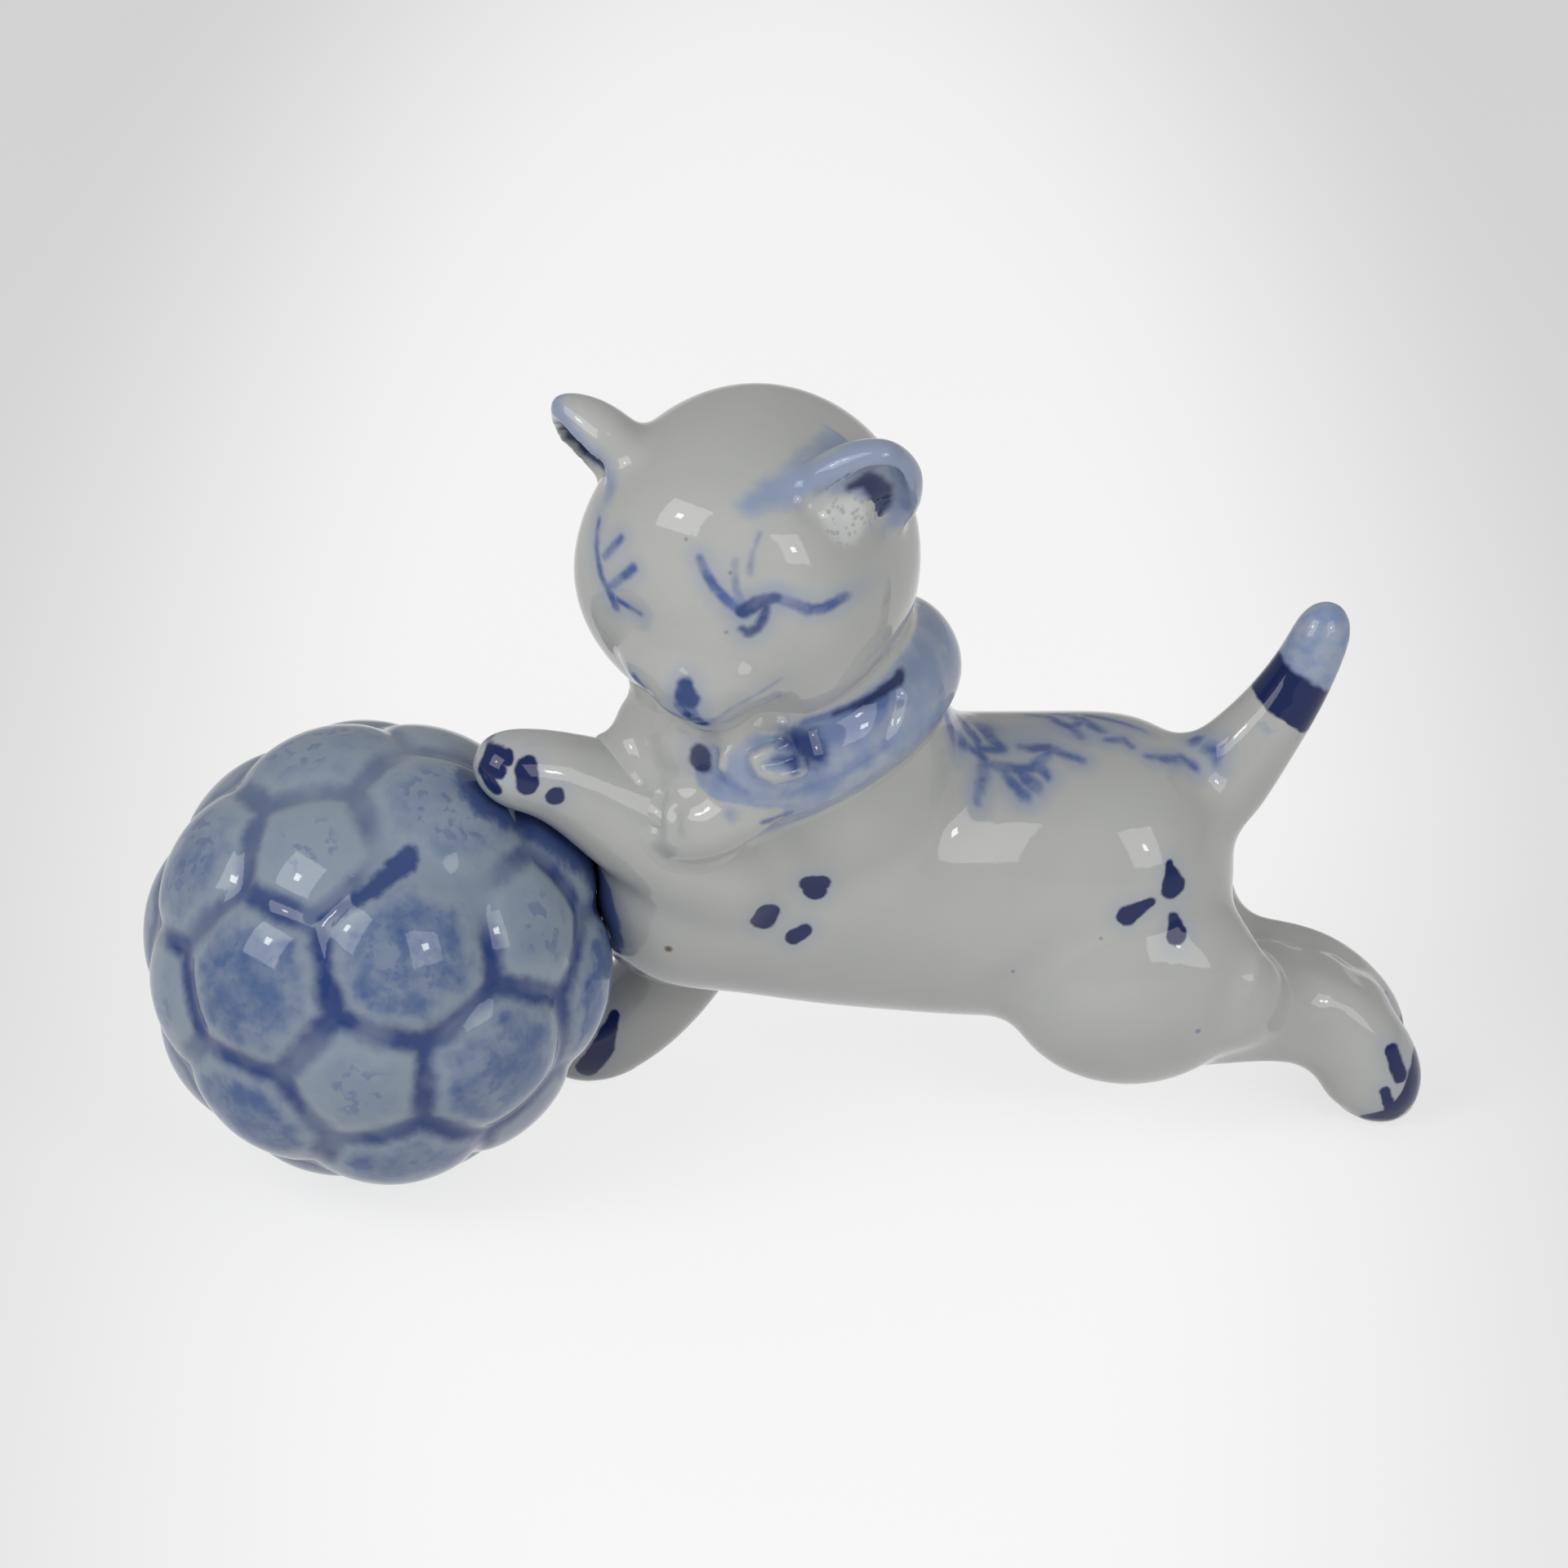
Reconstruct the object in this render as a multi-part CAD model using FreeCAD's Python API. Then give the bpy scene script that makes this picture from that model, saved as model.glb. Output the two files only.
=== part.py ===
"""Ceramic kitten pouncing on a ball, as the slip castings that a potter lutes together before glazing.

Millimetres. +Z is up and +X runs from the ball to the tail. The origin is the centre of the round foot
under the ball. The kitten's left side faces -Y. Each casting is cut to the ones that it is luted to, so
neighbours meet face to face. The ball, the body and the head are hollow, as drained castings are, and
each hollow reaches the outside air through a pierced vent.
"""

import os

import FreeCAD, Part
from FreeCAD import Matrix, Rotation, Vector
from math import atan2, cos, pi, radians, sin, sqrt

# ---- ball ----
BALL_RADIUS = 14.9            # to the top of a six-sided panel
SEAM_DEPTH = 0.80             # a seam's middle below the top of the panels
BALL_TURN = (114.1, 43.8, -59.8)  # how the panels lie: yaw, pitch and roll in degrees
BALL_FOOT_RADIUS = 3.4
BALL_WALL = 3.0

# ---- body ----
CHEST_OVERLAP = 1.95          # how far back along the ball the body's length is measured from
CHEST_TUCK = 1.6              # how much further the chest would reach if it were not cut to the ball
BODY_ASIDE = 6.0              # middle of the chest behind the middle of the ball
BODY_YAW = 4.9                # the body's turn away from the line of sight across the ball, in degrees
BODY_LENGTH = 40.9            # chest to rump
BODY_HALF_WIDTH = 9.1
BODY_HALF_HEIGHT = 9.7
SPINE_HEIGHT = 17.2           # middle of the loins above the ground
BODY_WALL = 2.8
NECK_RADIUS = 8.7
VENT_RADIUS = 1.1

# ---- head ----
HEAD_LEAN = 2.9               # the head's middle ahead of the middle of the collar
HEAD_ASIDE = -3.7             # the head's middle to the left of the spine's line
HEAD_RISE = 11.4              # the head's middle above the middle of the collar
HEAD_TURN = 22.0              # how far the face turns from straight left towards the ball, in degrees
HEAD_HALF_WIDTH = 10.1
HEAD_HALF_HEIGHT = 10.5
SKULL_DEPTH = 10.4            # middle of the head to the back of the skull
FACE_DEPTH = 11.6             # middle of the head to the tip of the muzzle
HEAD_WALL = 2.6
MUZZLE_RADIUS = 3.3
CHIN_RADIUS = 2.7
EAR_SPREAD = 10.8             # tip of an ear from the head's middle plane
EAR_RISE = 10.6               # tip of an ear above the head's middle
EAR_FORWARD = 6.0
EAR_HALF_WIDTH = 5.0
EAR_HALF_THICKNESS = 2.3
EAR_TIP = 1.9
EAR_WALL = 1.0

# ---- ribbon ----
COLLAR_ALONG = 13.4           # middle of the collar behind the chest
COLLAR_ASIDE = -2.0           # and to the left of the spine's line
COLLAR_RISE = 11.8            # above the middle of the loins
COLLAR_TILT = 27.0            # how far the collar leans forward, in degrees
RIBBON_RADIUS = 8.9           # middle of the ribbon's thickness
RIBBON_HALF_WIDTH = 2.6
RIBBON_HALF_THICKNESS = 1.6
BOW_LOOP = (3.5, 2.1, 2.7)    # half length, half thickness and half height of the upper loop
KNOT = (3.3, 2.6, 4.0)
LOWER_LOOP_RADIUS = 2.2

# ---- legs and tail ----
FORELEG_RADIUS = 3.8
FOREPAW_RADIUS = 2.7
STANDING_PAW_RADIUS = 3.2
SHOULDER_ASIDE = 5.6          # middle of a shoulder from the spine
THIGH = (8.2, 5.2, 7.1)       # half length, half thickness and half height
THIGH_ASIDE = 5.4
THIGH_HEIGHT = 11.2
SHANK_RADIUS = 3.0
HIND_PAW_RADIUS = 3.3
HIND_ASIDE = 2.9              # middle of a stretched hind leg from the two legs' middle
HIND_SWING = 0.8              # how far both stretched hind legs swing to the left
HIND_REACH = 11.9             # rump to the tip of the hind paws
TAIL_ROOT_RADIUS = 4.1
TAIL_TIP_RADIUS = 1.8
TAIL_RISE = 14.6              # tip of the tail above the root
TAIL_REACH = 9.3              # tip of the tail behind the root

FOOT_SINK = 0.35              # how far a paw would dip below the ground before it is ground flat
SECTIONS = 12                 # cross-sections along a lofted casting
GOLDEN = (1 + sqrt(5)) / 2
UP = Vector(0, 0, 1)


# ---- tools ----
def frame_matrix(x_axis, y_axis, z_axis, centre):
    """Matrix that carries the unit axes to three vectors, whatever their lengths, and the origin to centre."""
    return Matrix(x_axis.x, y_axis.x, z_axis.x, centre.x,
                  x_axis.y, y_axis.y, z_axis.y, centre.y,
                  x_axis.z, y_axis.z, z_axis.z, centre.z,
                  0, 0, 0, 1)


def curve_through(points):
    curve = Part.BSplineCurve()
    curve.interpolate(Points=points)
    return curve


def skinned(ellipses):
    """Closed skin through ellipses of (middle, half width vector, half height vector); the end two are points.

    It is made in two halves that meet along the sides, as in a two-part mould. Each half of an ellipse is
    an exact rational curve with five poles, and a smooth line joins each pole to its fellows from tip to tip.
    """
    corner = 1 / sqrt(2)
    halves = []
    for face in (1, -1):
        arc = [(face, 0, 1), (face, face, corner), (0, face, 1), (-face, face, corner), (-face, 0, 1)]
        lines = []
        for wide, high, _ in arc:
            line = Part.BSplineCurve()
            line.interpolate(Points=[middle + side * wide + rise * high for middle, side, rise in ellipses],
                             Parameters=list(range(len(ellipses))))
            lines.append(line)
        weights = [[weight] * len(lines[0].getPoles()) for _, _, weight in arc]
        half = Part.BSplineSurface()
        half.buildFromPolesMultsKnots([line.getPoles() for line in lines], [3, 2, 3],
                                      lines[0].getMultiplicities(), [0, 1, 2], lines[0].getKnots(),
                                      False, False, 2, lines[0].Degree, weights)
        halves.append(half.toShape())
    casting = Part.Solid(Part.Shell(halves))
    if casting.Volume < 0:
        casting.reverse()
    return casting


def rounding(distance, reach):
    """Share of the full girth at a distance from a tip that rounds off over reach."""
    if distance >= reach:
        return 1.0
    return sqrt(max(0.0, 1 - (1 - distance / reach) ** 2))


def soft_form(stations, across, front=None, back=None, shrink=0.0):
    """Rounded casting lofted through stations of (middle, half width, half height).

    The first and last stations are its tips. Width is measured along across. front and back are the
    lengths over which the ends round off, and shrink pulls the whole surface in, for a cavity.
    """
    spine = curve_through([middle for middle, _, _ in stations])
    places = [spine.parameter(middle) for middle, _, _ in stations]
    girth = Part.BSplineCurve()
    girth.interpolate(Points=[Vector(wide, high, place) for (_, wide, high), place in zip(stations, places)],
                      Parameters=places)
    usable = spine.length() - 2 * shrink
    front = (front or stations[0][1]) - shrink
    back = (back or stations[-1][1]) - shrink
    ellipses = []
    for step in range(SECTIONS + 1):
        run = usable * (1 - cos(pi * step / SECTIONS)) / 2
        at = min(spine.parameterAtDistance(run + shrink, spine.FirstParameter), spine.LastParameter)
        tangent = spine.tangent(at)[0]
        rise = tangent.cross(across).normalize()
        side = rise.cross(tangent).normalize()
        size = girth.value(at)
        share = rounding(run, front) * rounding(usable - run, back)
        ellipses.append((spine.value(at), side * ((size.x - shrink) * share), rise * ((size.y - shrink) * share)))
    return skinned(ellipses)


def pebble(centre, halves, along, up=UP):
    """Ellipsoid with its half sizes along, across and up."""
    ahead = Vector(along).normalize()
    across = up.cross(ahead).normalize()
    rise = ahead.cross(across)
    ball = Part.makeSphere(1.0)
    return ball.transformGeometry(frame_matrix(ahead * halves[0], across * halves[1], rise * halves[2], centre))


def fused(*shapes):
    return shapes[0].multiFuse(list(shapes[1:])).removeSplitter()


def cut(shape, *tools):
    """Shape less the tools, as its one largest solid, without the crumbs that a cut can leave."""
    left = shape.cut(list(tools))
    return max(left.Solids, key=lambda solid: solid.Volume)


def ground_block():
    """Everything below the ground, to grind the feet flat."""
    reach = 4 * (BALL_RADIUS + BODY_LENGTH)
    return Part.makeBox(2 * reach, 2 * reach, reach, Vector(-reach, -reach, -reach))


# ---- where things are ----
def on_body(along, aside, height):
    """Point on the body: along from the chest towards the tail, aside to its right, and height."""
    yaw = radians(BODY_YAW)
    chest_x = BALL_RADIUS - CHEST_OVERLAP
    return Vector(chest_x + along * cos(yaw) - aside * sin(yaw),
                  BODY_ASIDE + along * sin(yaw) + aside * cos(yaw),
                  height)


def body_direction(along, aside, rise):
    return (on_body(along, aside, rise) - on_body(0, 0, 0)).normalize()


HEAD_MIDDLE = on_body(COLLAR_ALONG - HEAD_LEAN, HEAD_ASIDE, SPINE_HEIGHT + COLLAR_RISE + HEAD_RISE)
FACING = Vector(-sin(radians(HEAD_TURN)), -cos(radians(HEAD_TURN)), 0)
HEAD_LEFT = Vector(cos(radians(HEAD_TURN)), -sin(radians(HEAD_TURN)), 0)
COLLAR_MIDDLE = on_body(COLLAR_ALONG, COLLAR_ASIDE, SPINE_HEIGHT + COLLAR_RISE)
COLLAR_AXIS = Vector(-sin(radians(COLLAR_TILT)), 0, cos(radians(COLLAR_TILT)))


def on_head(left, forward, up):
    return HEAD_MIDDLE + HEAD_LEFT * left + FACING * forward + UP * up


# ---- ball ----
def icosahedron_corners():
    corners = []
    for one in (-1, 1):
        for phi in (-GOLDEN, GOLDEN):
            corners += [Vector(0, one, phi), Vector(one, phi, 0), Vector(phi, 0, one)]
    return corners


def panel_outlines():
    """Corner directions of the 12 five-sided and 20 six-sided panels of a football."""
    corners = icosahedron_corners()
    near = 2.1
    neighbours = {i: [j for j in range(12) if j != i and (corners[i] - corners[j]).Length < near]
                  for i in range(12)}
    outlines = [[corners[i] * 2 + corners[j] for j in neighbours[i]] for i in range(12)]
    for i in range(12):
        for j in neighbours[i]:
            for k in neighbours[j]:
                if i < j < k and k in neighbours[i]:
                    pairs = [(i, j), (j, i), (j, k), (k, j), (k, i), (i, k)]
                    outlines.append([corners[a] * 2 + corners[b] for a, b in pairs])
    return outlines


def ordered_round(axis, points):
    """The points in turn round the axis."""
    first = (points[0] - axis * points[0].dot(axis)).normalize()
    second = axis.cross(first)
    return sorted(points, key=lambda p: atan2(p.dot(second), p.dot(first)))


def panel_domes():
    """Dome radius and its centre's distance from the ball's centre, for six and for five sides.

    The six-sided domes reach BALL_RADIUS and their seams lie SEAM_DEPTH lower. The five-sided ones are
    fitted so that every seam is one arc, shared by the panels on both its sides.
    """
    sample = panel_outlines()
    tilt = {}
    for outline in (sample[0], sample[-1]):
        axis = sum(outline, Vector()).normalize()
        points = ordered_round(axis, outline)
        tilt[len(outline)] = axis.dot((points[0] + points[1]).normalize())
    seam = BALL_RADIUS - SEAM_DEPTH
    radius6 = ((seam ** 2 + BALL_RADIUS ** 2 - 2 * seam * BALL_RADIUS * tilt[6])
               / (2 * (BALL_RADIUS - seam * tilt[6])))
    offset6 = BALL_RADIUS - radius6
    offset5 = offset6 * tilt[6] / tilt[5]
    radius5 = sqrt(radius6 ** 2 - (offset6 ** 2) * (1 - tilt[6] ** 2) + (offset5 ** 2) * (1 - tilt[5] ** 2))
    return {6: (radius6, offset6), 5: (radius5, offset5)}


def ball_envelope():
    """The panelled ball, solid, with its foot: 32 domed panels that meet at their seams."""
    domes = panel_domes()
    turn = Rotation(*BALL_TURN)
    middle = Vector(0, 0, BALL_RADIUS)
    panels = []
    for outline in panel_outlines():
        axis = sum(outline, Vector()).normalize()
        reach = [p.normalize() * (1.5 * BALL_RADIUS) for p in ordered_round(axis, outline)]
        rim = [turn.multVec(p) for p in reach]
        sides = [Part.Face(Part.makePolygon([Vector(), rim[i - 1], rim[i], Vector()])) for i in range(len(rim))]
        lid = Part.Face(Part.makePolygon(rim + [rim[0]]))
        wedge = Part.makeSolid(Part.makeShell(sides + [lid]))
        radius, offset = domes[len(rim)]
        dome = Part.makeSphere(radius, turn.multVec(axis) * offset)
        panels.append(wedge.common(dome))
    ball = fused(*panels)
    ball.translate(middle)
    foot = Part.makeCylinder(BALL_FOOT_RADIUS, BALL_RADIUS / 2)
    return cut(fused(ball, foot), ground_block())


def make_ball(envelope):
    middle = Vector(0, 0, BALL_RADIUS)
    hollow = Part.makeSphere(BALL_RADIUS - BALL_WALL, middle)
    vent = Part.makeCylinder(VENT_RADIUS, BALL_RADIUS)
    return cut(envelope, hollow, vent)


# ---- body ----
def body_stations():
    """Chest, withers, loins, croup and rump, with the spine's dip and the girth at each."""
    return [
        (on_body(-CHEST_TUCK, 0, SPINE_HEIGHT + 2.4), 0.88 * BODY_HALF_WIDTH, 0.88 * BODY_HALF_HEIGHT),
        (on_body(0.26 * BODY_LENGTH, 0, SPINE_HEIGHT + 1.4), 0.97 * BODY_HALF_WIDTH, 0.96 * BODY_HALF_HEIGHT),
        (on_body(0.51 * BODY_LENGTH, 0, SPINE_HEIGHT + 0.1), 0.98 * BODY_HALF_WIDTH, BODY_HALF_HEIGHT),
        (on_body(0.75 * BODY_LENGTH, 0, SPINE_HEIGHT - 0.3), BODY_HALF_WIDTH, BODY_HALF_HEIGHT),
        (on_body(BODY_LENGTH, 0, SPINE_HEIGHT + 0.2), 0.86 * BODY_HALF_WIDTH, 0.80 * BODY_HALF_HEIGHT),
    ]


def neck_stations():
    """From between the shoulders, up through the collar, into the head."""
    return [
        (on_body(COLLAR_ALONG + 3.0, 0, SPINE_HEIGHT), 0.92 * NECK_RADIUS, NECK_RADIUS),
        (COLLAR_MIDDLE, NECK_RADIUS, NECK_RADIUS),
        (HEAD_MIDDLE, 0.8 * NECK_RADIUS, 0.8 * NECK_RADIUS),
    ]


def body_envelope(shrink=0.0):
    side = body_direction(0, 1, 0)
    trunk = soft_form(body_stations(), side, front=7.0, back=6.0, shrink=shrink)
    neck = soft_form(neck_stations(), side, shrink=shrink)
    return fused(trunk, neck)


def make_body(envelope, ball, head):
    belly = on_body(BODY_LENGTH / 2, 0, 0)
    vent = Part.makeCylinder(VENT_RADIUS, SPINE_HEIGHT, belly)
    return cut(envelope, ball, head, body_envelope(BODY_WALL), vent)


# ---- head ----
def head_form(shrink=0.0):
    stations = [
        (on_head(0, -SKULL_DEPTH, 0.4), HEAD_HALF_WIDTH, HEAD_HALF_HEIGHT),
        (on_head(0, 0, 0), HEAD_HALF_WIDTH, HEAD_HALF_HEIGHT),
        (on_head(0, 0.36 * FACE_DEPTH, -0.3), 0.99 * HEAD_HALF_WIDTH, 0.97 * HEAD_HALF_HEIGHT),
        (on_head(0, 0.70 * FACE_DEPTH, -1.2), 0.85 * HEAD_HALF_WIDTH, 0.80 * HEAD_HALF_HEIGHT),
        (on_head(0, FACE_DEPTH, -2.4), 0.50 * HEAD_HALF_WIDTH, 0.46 * HEAD_HALF_HEIGHT),
    ]
    return soft_form(stations, HEAD_LEFT, front=SKULL_DEPTH, back=4.5, shrink=shrink)


def head_envelope():
    """Skull, cheeks and muzzle in one loft, with two whisker pads and a chin."""
    pads = [pebble(on_head(side * 2.1, 0.71 * FACE_DEPTH, -3.5), (MUZZLE_RADIUS, MUZZLE_RADIUS, 0.85 * MUZZLE_RADIUS),
                   FACING) for side in (-1, 1)]
    chin = pebble(on_head(0, 0.62 * FACE_DEPTH, -5.7), (CHIN_RADIUS, CHIN_RADIUS, CHIN_RADIUS), FACING)
    return fused(head_form(), *pads, chin)


def air_passage():
    """Hole pierced from the body's hollow into the head's, up the neck."""
    axis = HEAD_MIDDLE - COLLAR_MIDDLE
    return Part.makeCylinder(VENT_RADIUS, axis.Length, COLLAR_MIDDLE, axis)


def make_head(envelope):
    return cut(envelope, head_form(HEAD_WALL), air_passage())


def ear_form(side, grow, push, drop):
    """Cone of an ear, flattened across its mouth. push moves it out of the mouth, drop down its length."""
    mouth = (HEAD_LEFT * side + FACING).normalize()
    root = on_head(side * 0.48 * EAR_SPREAD, 0.4 * EAR_FORWARD, 0.24 * EAR_RISE)
    tip = on_head(side * EAR_SPREAD, EAR_FORWARD, EAR_RISE)
    axis = (tip - root).normalize()
    shift = mouth * push - axis * drop
    across = axis.cross(mouth).normalize()
    middle = (root * 0.45 + tip * 0.55) - mouth * 0.4
    stations = [
        (root + shift, EAR_HALF_WIDTH + grow, EAR_HALF_THICKNESS + grow),
        (middle + shift, 0.86 * EAR_HALF_WIDTH + grow, EAR_HALF_THICKNESS + grow),
        (tip + shift, EAR_TIP + grow, 0.8 * EAR_TIP + grow),
    ]
    return soft_form(stations, across, back=2 * EAR_TIP)


def make_ear(side, head):
    """side is 1 for the kitten's left ear and -1 for its right."""
    scoop = ear_form(side, -EAR_WALL * 0.7, 1.4 * EAR_WALL, 1.6 * EAR_WALL)
    return cut(ear_form(side, 0.0, 0.0, 0.0), head, scoop)


# ---- ribbon ----
def ribbon_envelope():
    """Band round the neck, an oval section swept round the collar's axis."""
    section = Part.makeCircle(1.0).transformGeometry(
        frame_matrix(Vector(RIBBON_HALF_THICKNESS, 0, 0), Vector(0, 0, RIBBON_HALF_WIDTH), Vector(0, 1, 0),
                     Vector(RIBBON_RADIUS, 0, 0)))
    band = Part.Face(Part.Wire([section])).revolve(Vector(), UP, 360)
    band.Placement = FreeCAD.Placement(COLLAR_MIDDLE, Rotation(UP, COLLAR_AXIS))
    return band


def on_collar(angle, out, up):
    """Point by the ribbon. The angle is 0 at the nape and runs from there past the left side, in degrees."""
    nape = Vector(cos(radians(COLLAR_TILT)), 0, sin(radians(COLLAR_TILT)))
    left = COLLAR_AXIS.cross(nape) * -1
    turn = nape * cos(radians(angle)) + left * sin(radians(angle))
    return COLLAR_MIDDLE + turn * (RIBBON_RADIUS + out) + COLLAR_AXIS * up


def bow_lobe(angle, out, up, halves):
    """A rounded lobe of the bow that lies along the ribbon."""
    middle = on_collar(angle, out, up)
    along = on_collar(angle + 1, 0, 0) - on_collar(angle - 1, 0, 0)
    outward = (middle - COLLAR_MIDDLE).normalize()
    return pebble(middle, halves, along, outward.cross(along).normalize())


def lower_loop_envelope():
    """The loop that hangs below the ribbon: narrow at the knot, full at its free end."""
    root = on_collar(102, 1.4, -0.6)
    tip = on_collar(143, 3.2, 0.2)
    stations = [
        (root, 0.35 * LOWER_LOOP_RADIUS, 0.4 * LOWER_LOOP_RADIUS),
        (on_collar(124, 2.6, -0.4), 0.85 * LOWER_LOOP_RADIUS, 0.95 * LOWER_LOOP_RADIUS),
        (tip, LOWER_LOOP_RADIUS, 1.1 * LOWER_LOOP_RADIUS),
    ]
    return soft_form(stations, (tip - root).cross(UP))


# ---- legs and tail ----
def left_foreleg_envelope():
    """Thrown forward over the ball, from the shoulder to the paw on its top."""
    rest = BALL_RADIUS * 2 - 1.3
    stations = [
        (on_body(12.7, -SHOULDER_ASIDE, SPINE_HEIGHT + 3.2), 1.35 * FORELEG_RADIUS, 1.45 * FORELEG_RADIUS),
        (on_body(6.7, -SHOULDER_ASIDE - 0.4, rest - 6.4), 1.2 * FORELEG_RADIUS, 1.3 * FORELEG_RADIUS),
        (on_body(1.4, -SHOULDER_ASIDE - 1.2, rest - 3.1), FORELEG_RADIUS, FORELEG_RADIUS),
        (on_body(-3.4, -SHOULDER_ASIDE - 2.4, rest - 0.3), 1.05 * FOREPAW_RADIUS, FOREPAW_RADIUS),
        (on_body(-7.4, -SHOULDER_ASIDE - 3.0, rest), FOREPAW_RADIUS, FOREPAW_RADIUS),
    ]
    return soft_form(stations, body_direction(0, 1, 0), back=FOREPAW_RADIUS)


def right_foreleg_envelope():
    """Standing behind the ball."""
    paw = STANDING_PAW_RADIUS - FOOT_SINK
    stations = [
        (on_body(12.2, SHOULDER_ASIDE, SPINE_HEIGHT - 0.5), 1.25 * FORELEG_RADIUS, 1.25 * FORELEG_RADIUS),
        (on_body(6.2, SHOULDER_ASIDE + 0.2, 8.6), 0.92 * FORELEG_RADIUS, 0.92 * FORELEG_RADIUS),
        (on_body(3.0, SHOULDER_ASIDE + 0.4, 4.4), 0.86 * FORELEG_RADIUS, 0.86 * FORELEG_RADIUS),
        (on_body(0.4, SHOULDER_ASIDE + 0.5, paw), STANDING_PAW_RADIUS, STANDING_PAW_RADIUS),
        (on_body(-2.8, SHOULDER_ASIDE + 0.6, paw), STANDING_PAW_RADIUS, STANDING_PAW_RADIUS),
    ]
    return soft_form(stations, body_direction(0, 1, 0), back=STANDING_PAW_RADIUS)


def hind_leg_envelope(side):
    """Thigh with the shank stretched out behind it, down to the paw. side is -1 for left and 1 for right."""
    thigh = pebble(on_body(BODY_LENGTH - 7.0, side * THIGH_ASIDE, THIGH_HEIGHT), THIGH, body_direction(1, 0, 0))
    tip = BODY_LENGTH + HIND_REACH
    aside = side * HIND_ASIDE - HIND_SWING
    stations = [
        (on_body(BODY_LENGTH - 8.0, aside + side, THIGH_HEIGHT - 1.5), 1.2 * SHANK_RADIUS, 1.5 * SHANK_RADIUS),
        (on_body(BODY_LENGTH, aside, 7.9), SHANK_RADIUS, 1.22 * SHANK_RADIUS),
        (on_body(tip - 6.2, aside, 6.7), SHANK_RADIUS, 1.1 * SHANK_RADIUS),
        (on_body(tip - 3.5, aside, HIND_PAW_RADIUS + 0.6), HIND_PAW_RADIUS, HIND_PAW_RADIUS),
        (on_body(tip - 3.2, aside, -FOOT_SINK), HIND_PAW_RADIUS, HIND_PAW_RADIUS),
    ]
    shank = soft_form(stations, body_direction(0, 1, 0), back=HIND_PAW_RADIUS)
    return fused(thigh, shank)


def tail_envelope():
    root = on_body(BODY_LENGTH - 3.5, 0, SPINE_HEIGHT + 2.5)
    stations = [
        (root, TAIL_ROOT_RADIUS, TAIL_ROOT_RADIUS),
        (root + body_direction(1, 0, 0) * (0.36 * TAIL_REACH) + UP * (0.25 * TAIL_RISE),
         0.75 * TAIL_ROOT_RADIUS, 0.75 * TAIL_ROOT_RADIUS),
        (root + body_direction(1, 0, 0) * (0.75 * TAIL_REACH) + UP * (0.60 * TAIL_RISE),
         1.25 * TAIL_TIP_RADIUS, 1.25 * TAIL_TIP_RADIUS),
        (root + body_direction(1, 0, 0) * TAIL_REACH + UP * TAIL_RISE, TAIL_TIP_RADIUS, TAIL_TIP_RADIUS),
    ]
    return soft_form(stations, body_direction(0, 1, 0), back=1.3 * TAIL_TIP_RADIUS)


# ---- assembly ----
def build():
    ground = ground_block()
    ball = ball_envelope()
    body = body_envelope()
    head = head_envelope()
    ribbon = ribbon_envelope()
    left_foreleg = left_foreleg_envelope()
    right_foreleg = right_foreleg_envelope()
    left_hind, right_hind = hind_leg_envelope(-1), hind_leg_envelope(1)
    knot = bow_lobe(150, 0.6, 3.6, KNOT)
    upper_loop = bow_lobe(104, 0.9, 1.8, BOW_LOOP)
    lower_loop = lower_loop_envelope()
    return {
        "ball": make_ball(ball),
        "body": make_body(body, ball, head),
        "head": make_head(head),
        "ear_left": make_ear(1, head),
        "ear_right": make_ear(-1, head),
        "foreleg_left": cut(left_foreleg, ball, body, head),
        "foreleg_right": cut(right_foreleg, ball, body, ground),
        "hind_leg_left": cut(left_hind, body, ground),
        "hind_leg_right": cut(right_hind, body, left_hind, ground),
        "tail": cut(tail_envelope(), body),
        "neck_ribbon": cut(ribbon, body, head, left_foreleg, right_foreleg),
        "bow_knot": cut(knot, ribbon, body, head, left_foreleg),
        "bow_loop_upper": cut(upper_loop, ribbon, knot, body, head, left_foreleg),
        "bow_loop_lower": cut(lower_loop, ribbon, knot, upper_loop, body, head, left_foreleg),
    }


def main():
    os.makedirs("parts", exist_ok=True)
    for name, shape in build().items():
        shape.exportStep(os.path.join("parts", name + ".step"))
        print(f"{name:16s} valid {shape.isValid()} volume {shape.Volume:8.1f} mm3, faces {len(shape.Faces)}")


main()
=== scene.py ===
"""Looks of the glazed porcelain kitten with its ball: glazed skins over the groups of luted castings,
cobalt painting under the glaze, a plain pale studio and the camera. Metres, in the part's own frame.
"""

import functools
import math
import random

import bmesh
import bpy
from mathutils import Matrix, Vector, noise
from mathutils.bvhtree import BVHTree
from mathutils.kdtree import KDTree


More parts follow.
